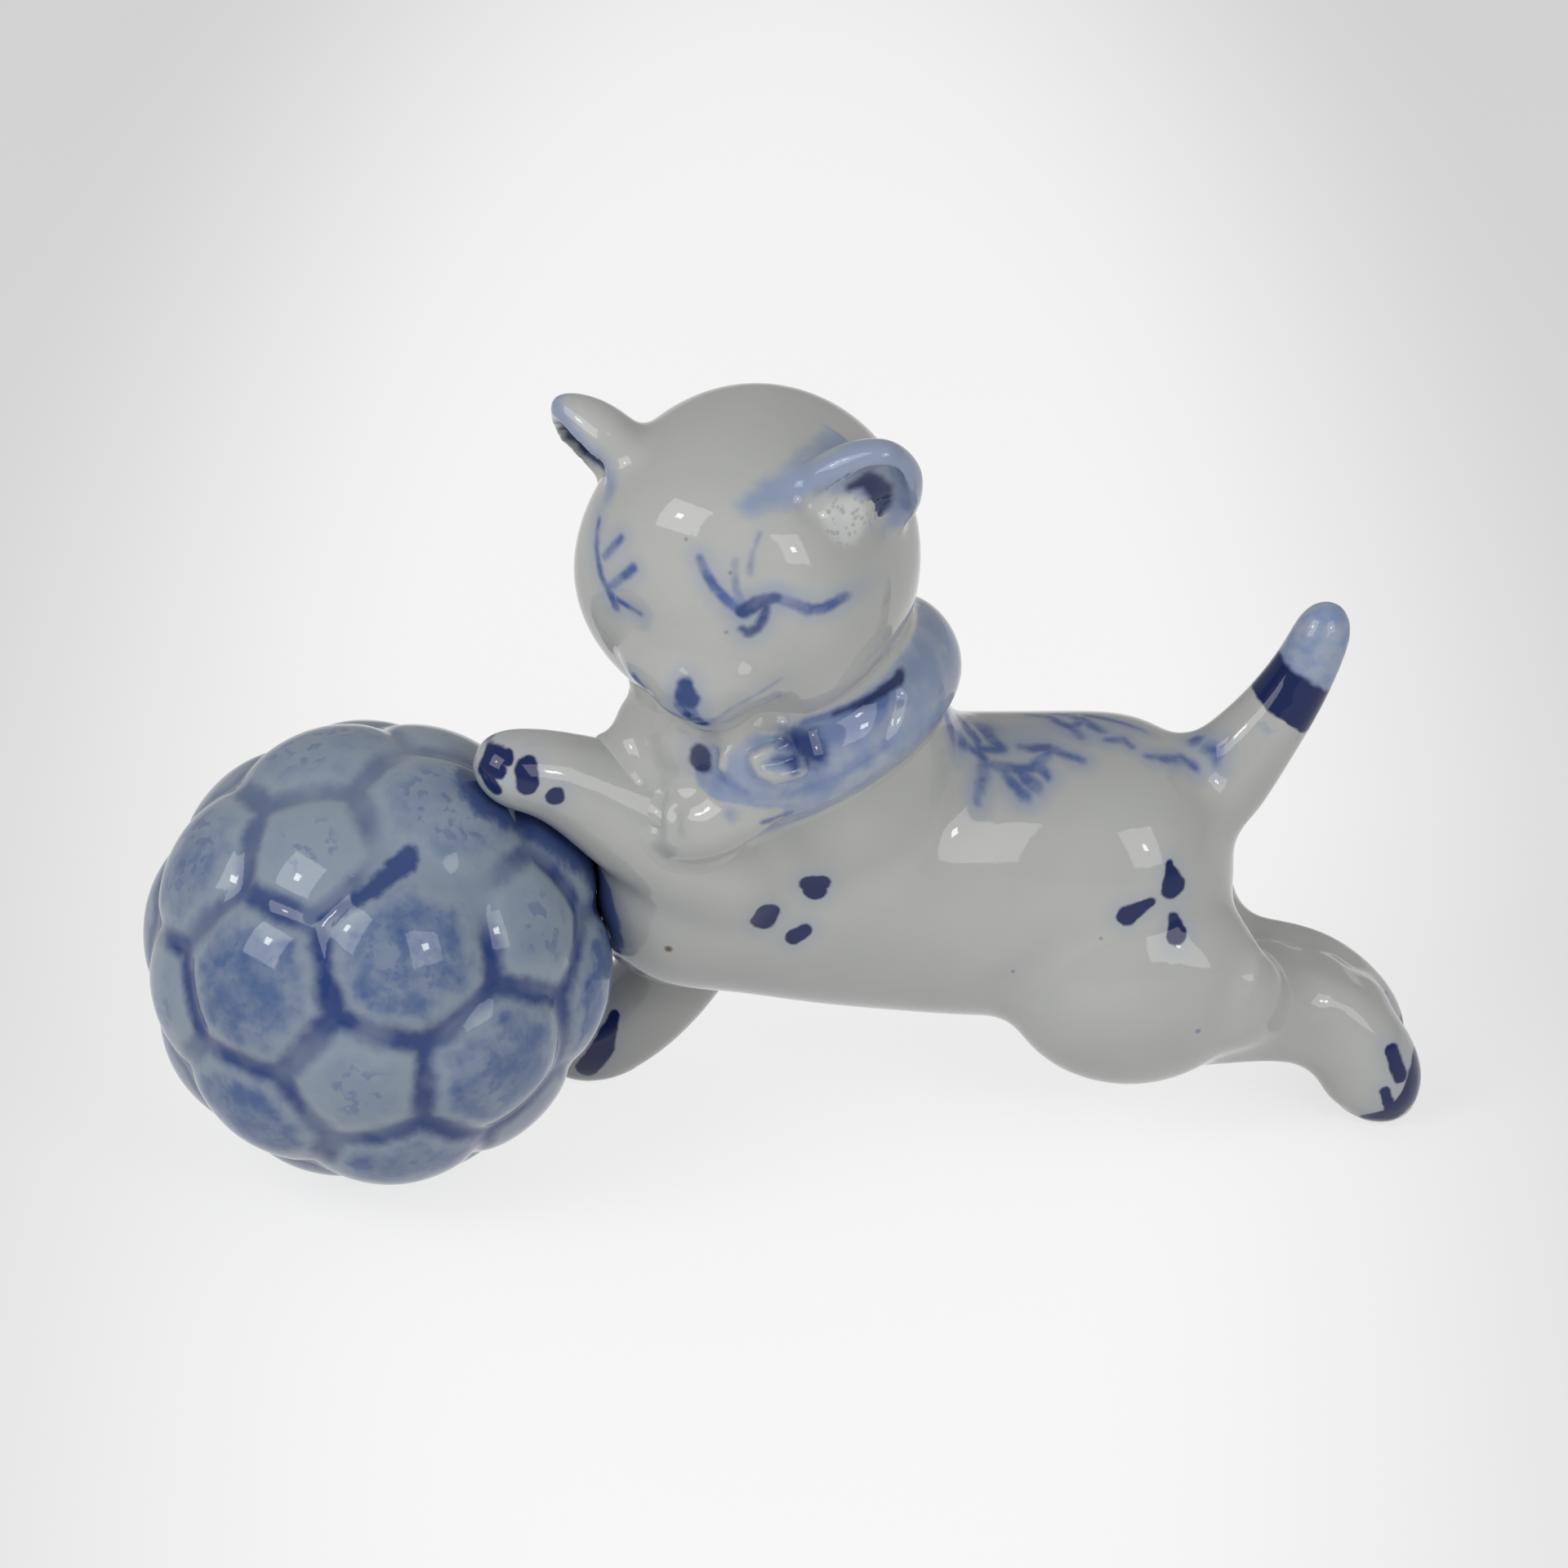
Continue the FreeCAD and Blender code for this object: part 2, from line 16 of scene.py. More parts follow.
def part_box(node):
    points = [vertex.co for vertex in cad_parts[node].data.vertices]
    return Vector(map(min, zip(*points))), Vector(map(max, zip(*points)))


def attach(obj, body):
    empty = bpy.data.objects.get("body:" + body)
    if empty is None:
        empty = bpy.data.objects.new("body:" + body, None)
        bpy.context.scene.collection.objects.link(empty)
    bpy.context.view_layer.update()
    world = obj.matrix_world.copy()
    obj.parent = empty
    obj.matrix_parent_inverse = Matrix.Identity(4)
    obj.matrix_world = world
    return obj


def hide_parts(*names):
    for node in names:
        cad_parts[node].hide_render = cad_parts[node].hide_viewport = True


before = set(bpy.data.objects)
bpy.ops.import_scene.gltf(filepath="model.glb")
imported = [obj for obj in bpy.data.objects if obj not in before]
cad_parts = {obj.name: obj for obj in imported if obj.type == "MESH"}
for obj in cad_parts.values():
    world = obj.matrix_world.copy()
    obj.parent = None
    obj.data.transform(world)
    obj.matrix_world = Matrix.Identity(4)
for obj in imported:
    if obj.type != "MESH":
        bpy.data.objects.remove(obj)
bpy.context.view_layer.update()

MM = 0.001
RIGHTWARD = Vector((1, 0, 0))
AWAY = Vector((0, 1, 0))
UP = Vector((0, 0, 1))

# ---- sizes, in millimetres ----
FINE = 0.21                   # mesh size of the head, the ribbon and the bow
COARSE = 0.30                 # mesh size of the body and the ball
# How a skin is made: its mesh size, the radius to which glaze fills a crease, and the rounds of smoothing.
BALL_COAT = (COARSE, 0.8, 12)
BODY_COAT = (COARSE, 1.9, 12)
HEAD_COAT = (FINE, 0.9, 10)
BOW_COAT = (FINE, 1.2, 8)
MERGED = 0.001                # points nearer than this are one point
RUBS = 40                     # strokes of the thumb that take a bump away
BELL_REACH = 2.5              # widths of a swelling or a ridge at which it has died out
VENT_RADIUS = 1.1             # air vents, which let the kiln's heat out of the hollow castings
VENT_DEPTH = 1.8
SEAM_GROOVE = 0.18            # how much deeper than the casting the ball's glazed seams look
SEAM_SPREAD = 0.8
SEAM_ANGLE = 8.0              # two faces of the ball's casting meet in a seam past this angle, in degrees
SEAM_FLOOR = 1.5              # below this height, creases belong to the ball's foot
FOOT_HEIGHT = 0.6             # of the ball's ground foot, which has no seams
FLAT_HEIGHT = 1.0             # below this height, a skin stays flat for the shelf
PANEL_EDGE = 0.9              # a panel's own wash starts this far from its seams
PANEL_LOADS = (0.7, 1.25)     # how heavy the panels' washes are, of pigment
PALE_LOAD = 0.25              # the wash of a five-sided panel
SEAM_LOAD = 0.5               # the wash beside the seams
FIVE_SIDED_POINTS = 850       # of the skin, in a panel: fewer than any six-sided panel has
FACE_YAW = 22.0               # the face's turn from straight left towards the ball, in degrees
EAR_CUP = 4.0                 # no ear is deeper than this
BOW_MARGIN = 3.5              # how much of the throat is recast with the bow
BOW_RIM = (0.9, 1.7)          # how far from the bow's castings its skin starts to dip, and ends
BOW_SINK = (0.6, 0.2)         # how high over the body's skin the rim starts to dip, and dips in full
BOW_DIP = 0.4                 # how deep the rim of the bow's skin dips under the body's skin
BOW_HIDDEN = 0.15             # lower than this past its rim, the bow's skin ends
BOW_WALL = 0.5
BLUE_LIMIT = 0.5              # past this distance from the white loop, the ribbon is as blue as it gets

# ---- modelled, in millimetres ----
# Lumps of clay that are pressed on: a place and three half widths.
LEG_WEB = [
    ((56.0, 7.3, 8.7), (3.4, 4.4, 2.7)),
    ((58.8, 7.6, 7.9), (3.2, 4.4, 2.6)),
    ((61.2, 7.6, 6.6), (3.0, 4.2, 2.5)),
    ((54.3, 2.4, 10.3), (2.4, 2.4, 3.4)),
]
EAR_BACK = [
    ((28.4, -3.5, 46.7), (2.5, 1.9, 2.6)),
    ((27.0, -4.6, 47.2), (2.0, 1.5, 1.9)),
]
THROAT = [((20.0, -2.0, 30.3), (2.8, 2.2, 3.0))]
# Soft swellings, or hollows where the height is negative: a place, a radius and a height.
TRUNK_FORMS = [
    ((33.5, 0.3, 22.5), 4.2, 0.5),        # shoulder
    ((47.7, 1.2, 21.0), 3.8, 0.45),       # hip
    ((40.5, 0.5, 18.5), 3.0, -0.35),      # waist
]
HEEL_HOLLOW = [((59.5, 2.8, 7.0), 1.6, -0.35)]
# Bumps that are rubbed down: a place and a radius.
THIGH_BUMPS = [((56.0, 3.0, 10.3), 3.6), ((55.6, 2.8, 7.4), 3.0)]
EAR_ROOTS = [((25.2, -5.2, 48.0), 1.9), ((15.6, -1.5, 48.6), 1.7)]
WORN_PLACE = (4.6, -9.5, 25.6)            # where the ball's mould was worn and its seams are hardly seen
WORN_RADIUS = 4.2
# The same on the head, in its own directions: left, forward and up from its middle.
MUZZLE = [
    ((0.8, 8.4, -4.3), (3.7, 3.6, 3.1)),
    ((0.9, 7.6, -6.3), (2.7, 2.8, 2.0)),
]
FACE_FORMS = [
    ((4.3, 10.8, -0.4), 1.7, -0.40),      # eyes
    ((-3.1, 10.8, -0.6), 1.4, -0.35),
    ((2.9, 11.3, -3.0), 1.3, 0.40),       # whisker pads
    ((-1.1, 11.4, -3.0), 1.2, 0.40),
    ((6.4, 9.2, 4.9), 2.2, 0.25),         # brows
    ((-0.4, 10.6, 5.8), 2.4, 0.25),
]
# Ridges and creases: points of a line, its half width and its height.
SHANK_RIDGE = ([(52.2, 0.0, 13.4), (57.0, 3.5, 11.6), (61.3, 4.4, 9.3), (63.5, 4.4, 6.5)], 1.3, 0.35)
EAR_RIM = ([(27.0, -6.3, 47.5), (28.1, -6.6, 48.3), (29.1, -6.8, 48.9), (30.2, -6.6, 49.2),
            (31.4, -5.4, 48.9)], 0.6, -0.55)
SWIRL = ([(21.8, -5.7, 30.2), (22.0, -5.4, 31.0), (22.6, -5.1, 31.7), (23.7, -5.1, 32.2), (24.9, -5.2, 32.2),
          (25.4, -5.8, 31.6), (24.6, -6.1, 31.3), (23.6, -6.2, 30.9), (23.9, -6.5, 30.3), (24.7, -6.5, 30.0),
          (26.2, -6.0, 30.2)], 0.38, 0.65)
PLEATS = [
    ([(17.0, -3.4, 27.2), (17.0, -4.3, 25.7)], 0.4, -0.28),
    ([(17.7, -3.2, 27.4), (17.5, -4.7, 25.5)], 0.4, -0.28),
    ([(18.6, -5.0, 26.6), (18.6, -5.4, 25.7)], 0.4, -0.28),
    ([(32.1, -2.5, 33.2), (31.7, -3.5, 31.9), (30.9, -4.2, 30.4)], 0.4, -0.28),
]
# Shallow hollows of hand-finished clay: their size and depth.
BALL_HOLLOWS = (4.0, 0.10)
BODY_HOLLOWS = (5.0, 0.08)
BALL_VENT = (0.0, 0.0)                    # places of the air vents: across and away
BELLY_VENT = (33.5, 7.8)

BODY_NODES = ["body", "foreleg_left", "foreleg_right", "hind_leg_left", "hind_leg_right", "tail"]
HEAD_NODES = ["head", "ear_left", "ear_right"]
BLUE_BOW_NODES = ["neck_ribbon", "bow_loop_upper"]
WHITE_BOW_NODES = ["bow_knot", "bow_loop_lower"]


# ---- geometry ----
def at(across, away, height):
    """Point of the figurine in millimetres."""
    return Vector((across, away, height)) * MM


def on_head(left, forward, up):
    """Point in the head's own directions, in millimetres from its middle."""
    return HEAD_CENTRE + (FACE_LEFT * left + FACING * forward + UP * up) * MM


def link(name, bm):
    """A new object at the origin that holds the finished bmesh, smooth shaded."""
    mesh = bpy.data.meshes.new(name)
    bm.to_mesh(mesh)
    bm.free()
    mesh.shade_smooth()
    piece = bpy.data.objects.new(name, mesh)
    bpy.context.scene.collection.objects.link(piece)
    return piece


def casting_copy(nodes):
    """The castings' own surfaces together, with their loose triangles merged."""
    bm = bmesh.new()
    for node in nodes:
        bm.from_mesh(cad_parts[node].data)
    bmesh.ops.remove_doubles(bm, verts=bm.verts, dist=MERGED * MM)
    return bm


def skin_copy(*pieces):
    """The surfaces of finished skins together."""
    bm = bmesh.new()
    for piece in pieces:
        bm.from_mesh(piece.data)
    return bm


def grow(piece, distance):
    """Moves the whole surface outwards, or inwards where the distance is negative."""
    swelling = piece.modifiers.new("grow", "DISPLACE")
    swelling.strength = distance * MM
    swelling.mid_level = 0.0


def recast(piece, size):
    """Makes the mesh anew, which joins castings that touch."""
    remesh = piece.modifiers.new("recast", "REMESH")
    remesh.mode = "VOXEL"
    remesh.voxel_size = size * MM


def reached(first, unseen):
    """The points that a walk along the edges finds among the unseen ones, which it takes them out of."""
    unseen.remove(first)
    search = [first]
    found = []
    while search:
        vert = search.pop()
        found.append(vert)
        for edge in vert.link_edges:
            other = edge.other_vert(vert)
            if other in unseen:
                unseen.remove(other)
                search.append(other)
    return found


def outer_shell(bm):
    """Only the largest connected surface: the hollows inside the castings are never seen."""
    unseen = set(bm.verts)
    shells = [reached(vert, unseen) for vert in bm.verts if vert in unseen]
    shells.sort(key=len)
    for shell in shells[:-1]:
        bmesh.ops.delete(bm, geom=shell, context="VERTS")


def smooth(bm, verts, rounds):
    for _ in range(rounds):
        bmesh.ops.smooth_vert(bm, verts=verts, factor=0.5, use_axis_x=True, use_axis_y=True, use_axis_z=True)
    bm.normal_update()


def taken_from(piece):
    """The surface of a piece with its modifiers applied, in place of the piece."""
    bm = bmesh.new()
    bm.from_object(piece, bpy.context.evaluated_depsgraph_get())
    bpy.data.objects.remove(piece)
    return bm


def glazed_skin(castings, coat):
    """One skin over castings that are luted together, with glaze in the creases between them."""
    size, fillet, softening = coat
    piece = link("castings", castings)
    recast(piece, size)
    grow(piece, fillet)
    recast(piece, size)
    grow(piece, -fillet)
    recast(piece, size)
    bm = taken_from(piece)
    outer_shell(bm)
    smooth(bm, bm.verts, softening)
    return bm


def press_on(bm, lumps, where):
    """Presses on egg-shaped lumps of clay, before the glaze."""
    for place, half_widths in lumps:
        lump = bmesh.ops.create_uvsphere(bm, u_segments=24, v_segments=16, radius=MM)["verts"]
        bmesh.ops.scale(bm, vec=Vector(half_widths), verts=lump)
        bmesh.ops.translate(bm, vec=where(*place), verts=lump)


def rub_down(bm, bumps):
    """Smooths small bumps away."""
    for place, radius in bumps:
        centre = at(*place)
        near = [vert for vert in bm.verts if (vert.co - centre).length < radius * MM]
        smooth(bm, near, RUBS)


def vented(bm, spot):
    """The skin with an air vent sunk into its underside."""
    mouth = BVHTree.FromBMesh(bm).ray_cast(at(*spot, -1.0), UP)[0]
    piece = link("skin", bm)
    bit = bmesh.new()
    radius = VENT_RADIUS * MM
    bmesh.ops.create_cone(bit, cap_ends=True, segments=40, radius1=radius, radius2=radius,
                          depth=2 * VENT_DEPTH * MM)
    bmesh.ops.translate(bit, vec=mouth, verts=bit.verts)
    drill = link("drill", bit)
    cut = piece.modifiers.new("vent", "BOOLEAN")
    cut.operation = "DIFFERENCE"
    cut.object = drill
    drilled = taken_from(piece)
    bpy.data.objects.remove(drill)
    drilled.normal_update()
    return drilled


def bell(away, width):
    """1 at nothing away, and near 0 past two widths."""
    return math.exp(-0.5 * (away / (width * MM)) ** 2)


def shift(bm, moves):
    """Moves points once all of their moves are known."""
    for vert, move in moves:
        vert.co += move
    bm.normal_update()


def swell(bm, forms, where):
    """Raises soft swellings, or presses hollows where a height is negative."""
    for place, radius, height in forms:
        centre = where(*place)
        moves = []
        for vert in bm.verts:
            away = (vert.co - centre).length
            if away < BELL_REACH * radius * MM:
                moves.append((vert, vert.normal * (height * MM * bell(away, radius))))
        shift(bm, moves)


def distance_to_path(point, path):
    """Distance from a point to a line through points."""
    nearest = math.inf
    for start, end in zip(path, path[1:]):
        run = end - start
        along = max(0.0, min(1.0, (point - start).dot(run) / run.length_squared))
        nearest = min(nearest, (point - start - run * along).length)
    return nearest


def emboss(bm, points, width, height):
    """Raises a soft ridge along a line of points, or presses a crease where height is negative."""
    path = [at(*point) for point in points]
    reach = BELL_REACH * width * MM
    middle = sum(path, Vector()) / len(path)
    extent = max((point - middle).length for point in path) + reach
    moves = []
    for vert in bm.verts:
        if (vert.co - middle).length > extent:
            continue
        away = distance_to_path(vert.co, path)
        if away < reach:
            moves.append((vert, vert.normal * (height * MM * bell(away, width))))
    shift(bm, moves)


def unevenness(bm, size, depth):
    """Hand-finished clay is never quite even: shallow hollows of a size, up to a depth."""
    moves = []
    for vert in bm.verts:
        if vert.co.z > FLAT_HEIGHT * MM:
            share = 0.5 + 0.5 * noise.noise(vert.co / (size * MM))
            moves.append((vert, vert.normal * (-depth * MM * share)))
    shift(bm, moves)


def box_cut(bm, low, high):
    """Keeps what lies inside a box and closes each cut."""
    for axis in range(3):
        for corner, side in ((low, -1), (high, 1)):
            outward = Vector((0, 0, 0))
            outward[axis] = side
            geometry = bm.verts[:] + bm.edges[:] + bm.faces[:]
            bmesh.ops.bisect_plane(bm, geom=geometry, plane_co=corner, plane_no=outward, clear_outer=True)
            rims = [edge for edge in bm.edges if edge.is_boundary]
            bmesh.ops.holes_fill(bm, edges=rims, sides=0)


def distances(bm, castings):
    """Each point's distance to the castings' surface, in millimetres."""
    surface = BVHTree.FromBMesh(castings)
    castings.free()
    return [surface.find_nearest(vert.co)[3] / MM for vert in bm.verts]


def heights(bm, pieces):
    """How high each point stands outside finished skins, in millimetres, and below 0 inside them."""
    skins = []
    for piece in pieces:
        skin = skin_copy(piece)
        skins.append(BVHTree.FromBMesh(skin))
        skin.free()
    result = []
    for vert in bm.verts:
        least = math.inf
        for skin in skins:
            place, outward, _, away = skin.find_nearest(vert.co)
            sign = 1 if (vert.co - place).dot(outward) > 0 else -1
            least = min(least, sign * away / MM)
        result.append(least)
    return result


def finish_skin(name, bm, nodes):
    """The skin stands for its castings and rides where they do."""
    piece = link(name, bm)
    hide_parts(*nodes)
    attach(piece, "root")
    return piece


def store(piece, name, values):
    """Keeps one number per point of the skin for the glaze to read."""
    layer = piece.data.attributes.new(name, "FLOAT", "POINT")
    layer.data.foreach_set("value", values)


# ---- ball ----
def seam_distances(bm):
    """Each point's distance to the creases of the ball's casting, in millimetres."""
    castings = casting_copy(["ball"])
    points = []
    for edge in castings.edges:
        if len(edge.link_faces) != 2 or edge.calc_face_angle() < math.radians(SEAM_ANGLE):
            continue
        ends = [vert.co.copy() for vert in edge.verts]
        middle = (ends[0] + ends[1]) / 2
        if middle.z > SEAM_FLOOR * MM and (middle - BALL_CENTRE).length > 0.9 * BALL_RADIUS:
            points += [ends[0], middle, ends[1]]
    castings.free()
    tree = KDTree(len(points))
    for index, point in enumerate(points):
        tree.insert(point, index)
    tree.balance()
    return [tree.find(vert.co)[2] / MM for vert in bm.verts]


def panel_washes(bm, seams):
    """How heavy a wash each panel was given, 0 to 1, spread over its points. Five-sided panels stay pale."""
    random.seed(12)
    wash = [SEAM_LOAD] * len(bm.verts)
    unseen = {vert for vert, seam in zip(bm.verts, seams) if seam > PANEL_EDGE}
    for first in sorted(unseen, key=lambda vert: vert.index):
        if first not in unseen:
            continue
        panel = reached(first, unseen)
        load = random.uniform(*PANEL_LOADS)
        if len(panel) < FIVE_SIDED_POINTS:
            load = PALE_LOAD
        for vert in panel:
            wash[vert.index] = load
    return wash


def make_ball(body):
    bm = glazed_skin(casting_copy(["ball"]), BALL_COAT)
    for vert, distance in zip(bm.verts, seam_distances(bm)):
        if vert.co.z > FOOT_HEIGHT * MM:
            vert.co -= vert.normal * (SEAM_GROOVE * MM * math.exp(-(distance / SEAM_SPREAD) ** 2))
    rub_down(bm, [(WORN_PLACE, WORN_RADIUS)])
    unevenness(bm, *BALL_HOLLOWS)
    bm = vented(bm, BALL_VENT)
    bm.verts.index_update()
    seams = seam_distances(bm)
    washes = panel_washes(bm, seams)
    contact = distances(bm, skin_copy(body))
    ball = finish_skin("ball_skin", bm, ["ball"])
    store(ball, "seam", seams)
    store(ball, "wash", washes)
    store(ball, "contact", contact)
    return ball


# ---- kitten ----
def make_body():
    castings = casting_copy(BODY_NODES)
    press_on(castings, LEG_WEB, at)
    bm = glazed_skin(castings, BODY_COAT)
    swell(bm, TRUNK_FORMS, at)
    emboss(bm, *SHANK_RIDGE)
    swell(bm, HEEL_HOLLOW, at)
    rub_down(bm, THIGH_BUMPS)
    unevenness(bm, *BODY_HOLLOWS)
    bm = vented(bm, BELLY_VENT)
    return finish_skin("kitten_body", bm, BODY_NODES)


def cup_depths(bm):
    """How deep each point lies inside the cup of an ear, in millimetres, and 0 elsewhere; the glaze paints
    shade by it.
    """
    depths = [0.0] * len(bm.verts)
    for node in ("ear_left", "ear_right"):
        ear = casting_copy([node])
        wrapped = bmesh.new()
        for vert in ear.verts:
            wrapped.verts.new(vert.co)
        ear.free()
        bmesh.ops.convex_hull(wrapped, input=wrapped.verts)
        hull = BVHTree.FromBMesh(wrapped)
        wrapped.free()
        for index, vert in enumerate(bm.verts):
            place, outward, _, away = hull.find_nearest(vert.co)
            if away < EAR_CUP * MM and (vert.co - place).dot(outward) < 0:
                depths[index] = max(depths[index], away / MM)
    return depths


def make_head():
    castings = casting_copy(HEAD_NODES)
    press_on(castings, MUZZLE, on_head)
    press_on(castings, EAR_BACK, at)
    bm = glazed_skin(castings, HEAD_COAT)
    rub_down(bm, EAR_ROOTS)
    emboss(bm, *EAR_RIM)
    swell(bm, FACE_FORMS, on_head)
    cups = cup_depths(bm)
    head = finish_skin("kitten_head", bm, HEAD_NODES)
    store(head, "cup", cups)
    return head


def throat_and_bow(body, head, nodes):
    """The bow's castings with the piece of the throat that they are stuck on."""
    margin = Vector((1, 1, 1)) * (BOW_MARGIN * MM)
    corners = [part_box(node) for node in nodes]
    low = Vector([min(corner[0][axis] for corner in corners) for axis in range(3)]) - margin
    high = Vector([max(corner[1][axis] for corner in corners) for axis in range(3)]) + margin
    throat = skin_copy(body, head)
    box_cut(throat, low, high)
    for node in nodes:
        throat.from_mesh(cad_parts[node].data)
    bmesh.ops.remove_doubles(throat, verts=throat.verts, dist=MERGED * MM)
    press_on(throat, THROAT, at)
    return throat


def share_between(value, start, end):
    """0 up to the start, 1 from the end on, and even between them."""
    return max(0.0, min(1.0, (value - start) / (end - start)))


def make_bow(body, head):
    """Ribbon and bow as one skin that runs smoothly into the body's and the head's."""
    nodes = BLUE_BOW_NODES + WHITE_BOW_NODES
    bm = glazed_skin(throat_and_bow(body, head, nodes), BOW_COAT)
    away = distances(bm, casting_copy(nodes))
    proud = heights(bm, (body, head))
    far = []
    for vert, distance, height in zip(bm.verts, away, proud):
        share = share_between(distance, *BOW_RIM) * share_between(height, *BOW_SINK)
        vert.co -= vert.normal * (BOW_DIP * MM * share)
        if distance > BOW_RIM[1] and height < BOW_HIDDEN:
            far.append(vert)
    bmesh.ops.delete(bm, geom=far, context="VERTS")
    bm.normal_update()
    bmesh.ops.solidify(bm, geom=bm.faces[:], thickness=BOW_WALL * MM)
    bmesh.ops.recalc_face_normals(bm, faces=bm.faces)
    bm.normal_update()
    emboss(bm, *SWIRL)
    for pleat in PLEATS:
        emboss(bm, *pleat)
    blue = distances(bm, casting_copy(BLUE_BOW_NODES))
    white = distances(bm, casting_copy(WHITE_BOW_NODES))
    bow = finish_skin("ribbon_and_bow", bm, nodes)
    store(bow, "blue", [min(far_off, BLUE_LIMIT) - near for near, far_off in zip(blue, white)])
    return bow


# ---- glaze ----
class Field:
    """A value in a material that Python sums can be done on. Each sum adds one Math node."""

    def __init__(self, paint, socket):
        self.paint = paint
        self.socket = socket

    def sum(self, operation, *others):
        return self.paint.node("ShaderNodeMath", {"operation": operation}, dict(enumerate((self, *others))))

    def __add__(self, other):
        return self.sum("ADD", other)

    __radd__ = __add__

    def __mul__(self, other):
        return self.sum("MULTIPLY", other)

    __rmul__ = __mul__

    def __sub__(self, other):
        return self.sum("SUBTRACT", other)

    def __rsub__(self, other):
        return self.paint.node("ShaderNodeMath", {"operation": "SUBTRACT"}, {0: other, 1: self})

    def least(self, other):
        return self.sum("MINIMUM", other)

    def most(self, other):
        return self.sum("MAXIMUM", other)


class Paint:
    """A material in the making."""

    def __init__(self, name):
        self.material = bpy.data.materials.new(name)
        self.material.use_nodes = True
        self.tree = self.material.node_tree
        self.shader = self.tree.nodes["Principled BSDF"]
        self.place = self.node("ShaderNodeTexCoord", {}, {}, output="Object")

    def node(self, kind, settings, sockets, output=0):
        """A node of a kind. Its settings are set first, then its sockets get their values or links."""
        made = self.tree.nodes.new(kind)
        for key, value in settings.items():
            setattr(made, key, value)
        for key, value in sockets.items():
            socket = made.inputs[key]
            if isinstance(value, Field):
                self.tree.links.new(value.socket, socket)
            else:
                socket.default_value = value
        return Field(self, made.outputs[output])

    def feed(self, name, value):
        """Links a value to a socket of the surface's shader."""
        self.tree.links.new(value.socket, self.shader.inputs[name])

    def vector(self, operation, *values, output=0):
        """Vector Math. Output 0 is its vector and 1 its number."""
        return self.node("ShaderNodeVectorMath", {"operation": operation}, dict(enumerate(values)), output)

    def attribute(self, name):
        return self.node("ShaderNodeAttribute", {"attribute_name": name}, {}, output="Fac")

    def noise(self, size, detail=2.0, roughness=0.5):
        """Cloudy values about 0.5 with lumps of a size in millimetres."""
        sockets = {"Vector": self.place, "Scale": 1 / (size * MM), "Detail": detail, "Roughness": roughness}
        return self.node("ShaderNodeTexNoise", {}, sockets, output="Fac")

    def between(self, value, low, high):
        """0 at low, 1 at high and a soft step from one to the other; low may be the larger."""
        sockets = {0: value, 1: low, 2: high, 3: 0.0, 4: 1.0}
        return self.node("ShaderNodeMapRange", {"interpolation_type": "SMOOTHSTEP"}, sockets)

    def waver(self, size, amount):
        """Millimetres by which an edge wavers, with waves of a size."""
        return (self.noise(size) - 0.5) * amount

    def patches(self, size, low, high, detail=2.0):
        """Soft patches of a size: 0 where the clouds stay below low, 1 where they pass high."""
        return self.between(self.noise(size, detail), low, high)

    def mix(self, share, first, second):
        return self.node("ShaderNodeMix", {"data_type": "RGBA"}, {0: share, 6: first, 7: second}, output=2)

    def along(self, direction, origin=Vector()):
        """Millimetres from an origin in a direction."""
        moved = self.vector("SUBTRACT", self.place, origin)
        return self.vector("DOT_PRODUCT", moved, direction / MM, output=1)

    def barred(self, direction, start, end, origin=Vector()):
        """Millimetres to add to a stroke's distance, so that nothing is painted past the end."""
        return self.between(self.along(direction, origin), start, end) * OUT_OF_REACH

    def span(self, centre):
        """Distance from a point of the piece, in its own metres."""
        return self.vector("DISTANCE", self.place, centre, output=1)

    def view(self, right, up, origin=Vector()):
        """Millimetres on a flat view of the piece, for brush strokes."""
        sockets = {0: self.along(right, origin), 1: self.along(up, origin)}
        return self.node("ShaderNodeCombineXYZ", {}, sockets)

    def touch(self, view, spot):
        """Distance to the edge of a round touch of the brush at (across, up, half width)."""
        away = self.vector("SUBTRACT", view, (spot[0], spot[1], 0))
        return self.vector("LENGTH", away, output=1) - spot[2]

    def stroke(self, view, start, end):
        """Distance to the edge of a straight stroke between two (across, up, half width)."""
        run = Vector((end[0] - start[0], end[1] - start[1], 0))
        away = self.vector("SUBTRACT", view, (start[0], start[1], 0))
        along = self.vector("DOT_PRODUCT", away, run / run.length_squared, output=1)
        along = along.most(0.0).least(1.0)
        covered = self.node("ShaderNodeVectorMath", {"operation": "SCALE"}, {"Vector": run, "Scale": along})
        aside = self.vector("SUBTRACT", away, covered)
        return self.vector("LENGTH", aside, output=1) - (along * (end[2] - start[2]) + start[2])

    def strokes(self, view, strokes):
        """Each part of many strokes, which are lists of (across, up, half width)."""
        for stroke in strokes:
            if len(stroke) == 1:
                yield self.touch(view, stroke[0])
            for start, end in zip(stroke, stroke[1:]):
                yield self.stroke(view, start, end)

    def painted(self, view, strokes):
        """Distance to the edge of the nearest of many strokes."""
        return functools.reduce(Field.least, self.strokes(view, strokes))


def glaze_shader(paint, colour):
    """Clear glaze over the colour, with a faint orange-peel ripple."""
    paint.feed("Base Color", colour)
    for name, value in GLOSS.items():
        paint.shader.inputs[name].default_value = value
    ripple = {"Strength": 0.12, "Distance": RIPPLE_DEPTH * MM, "Height": paint.noise(RIPPLE_SIZE)}
    paint.feed("Normal", paint.node("ShaderNodeBump", {}, ripple, output="Normal"))
    return paint.material


OUT_OF_REACH = 9.0            # millimetres, farther than any stroke or its bleeding reaches
GLOSS = {"Roughness": 0.055, "IOR": 1.52, "Specular IOR Level": 0.42}
RIPPLE_SIZE = 1.2             # of the glaze, in millimetres
RIPPLE_DEPTH = 0.05

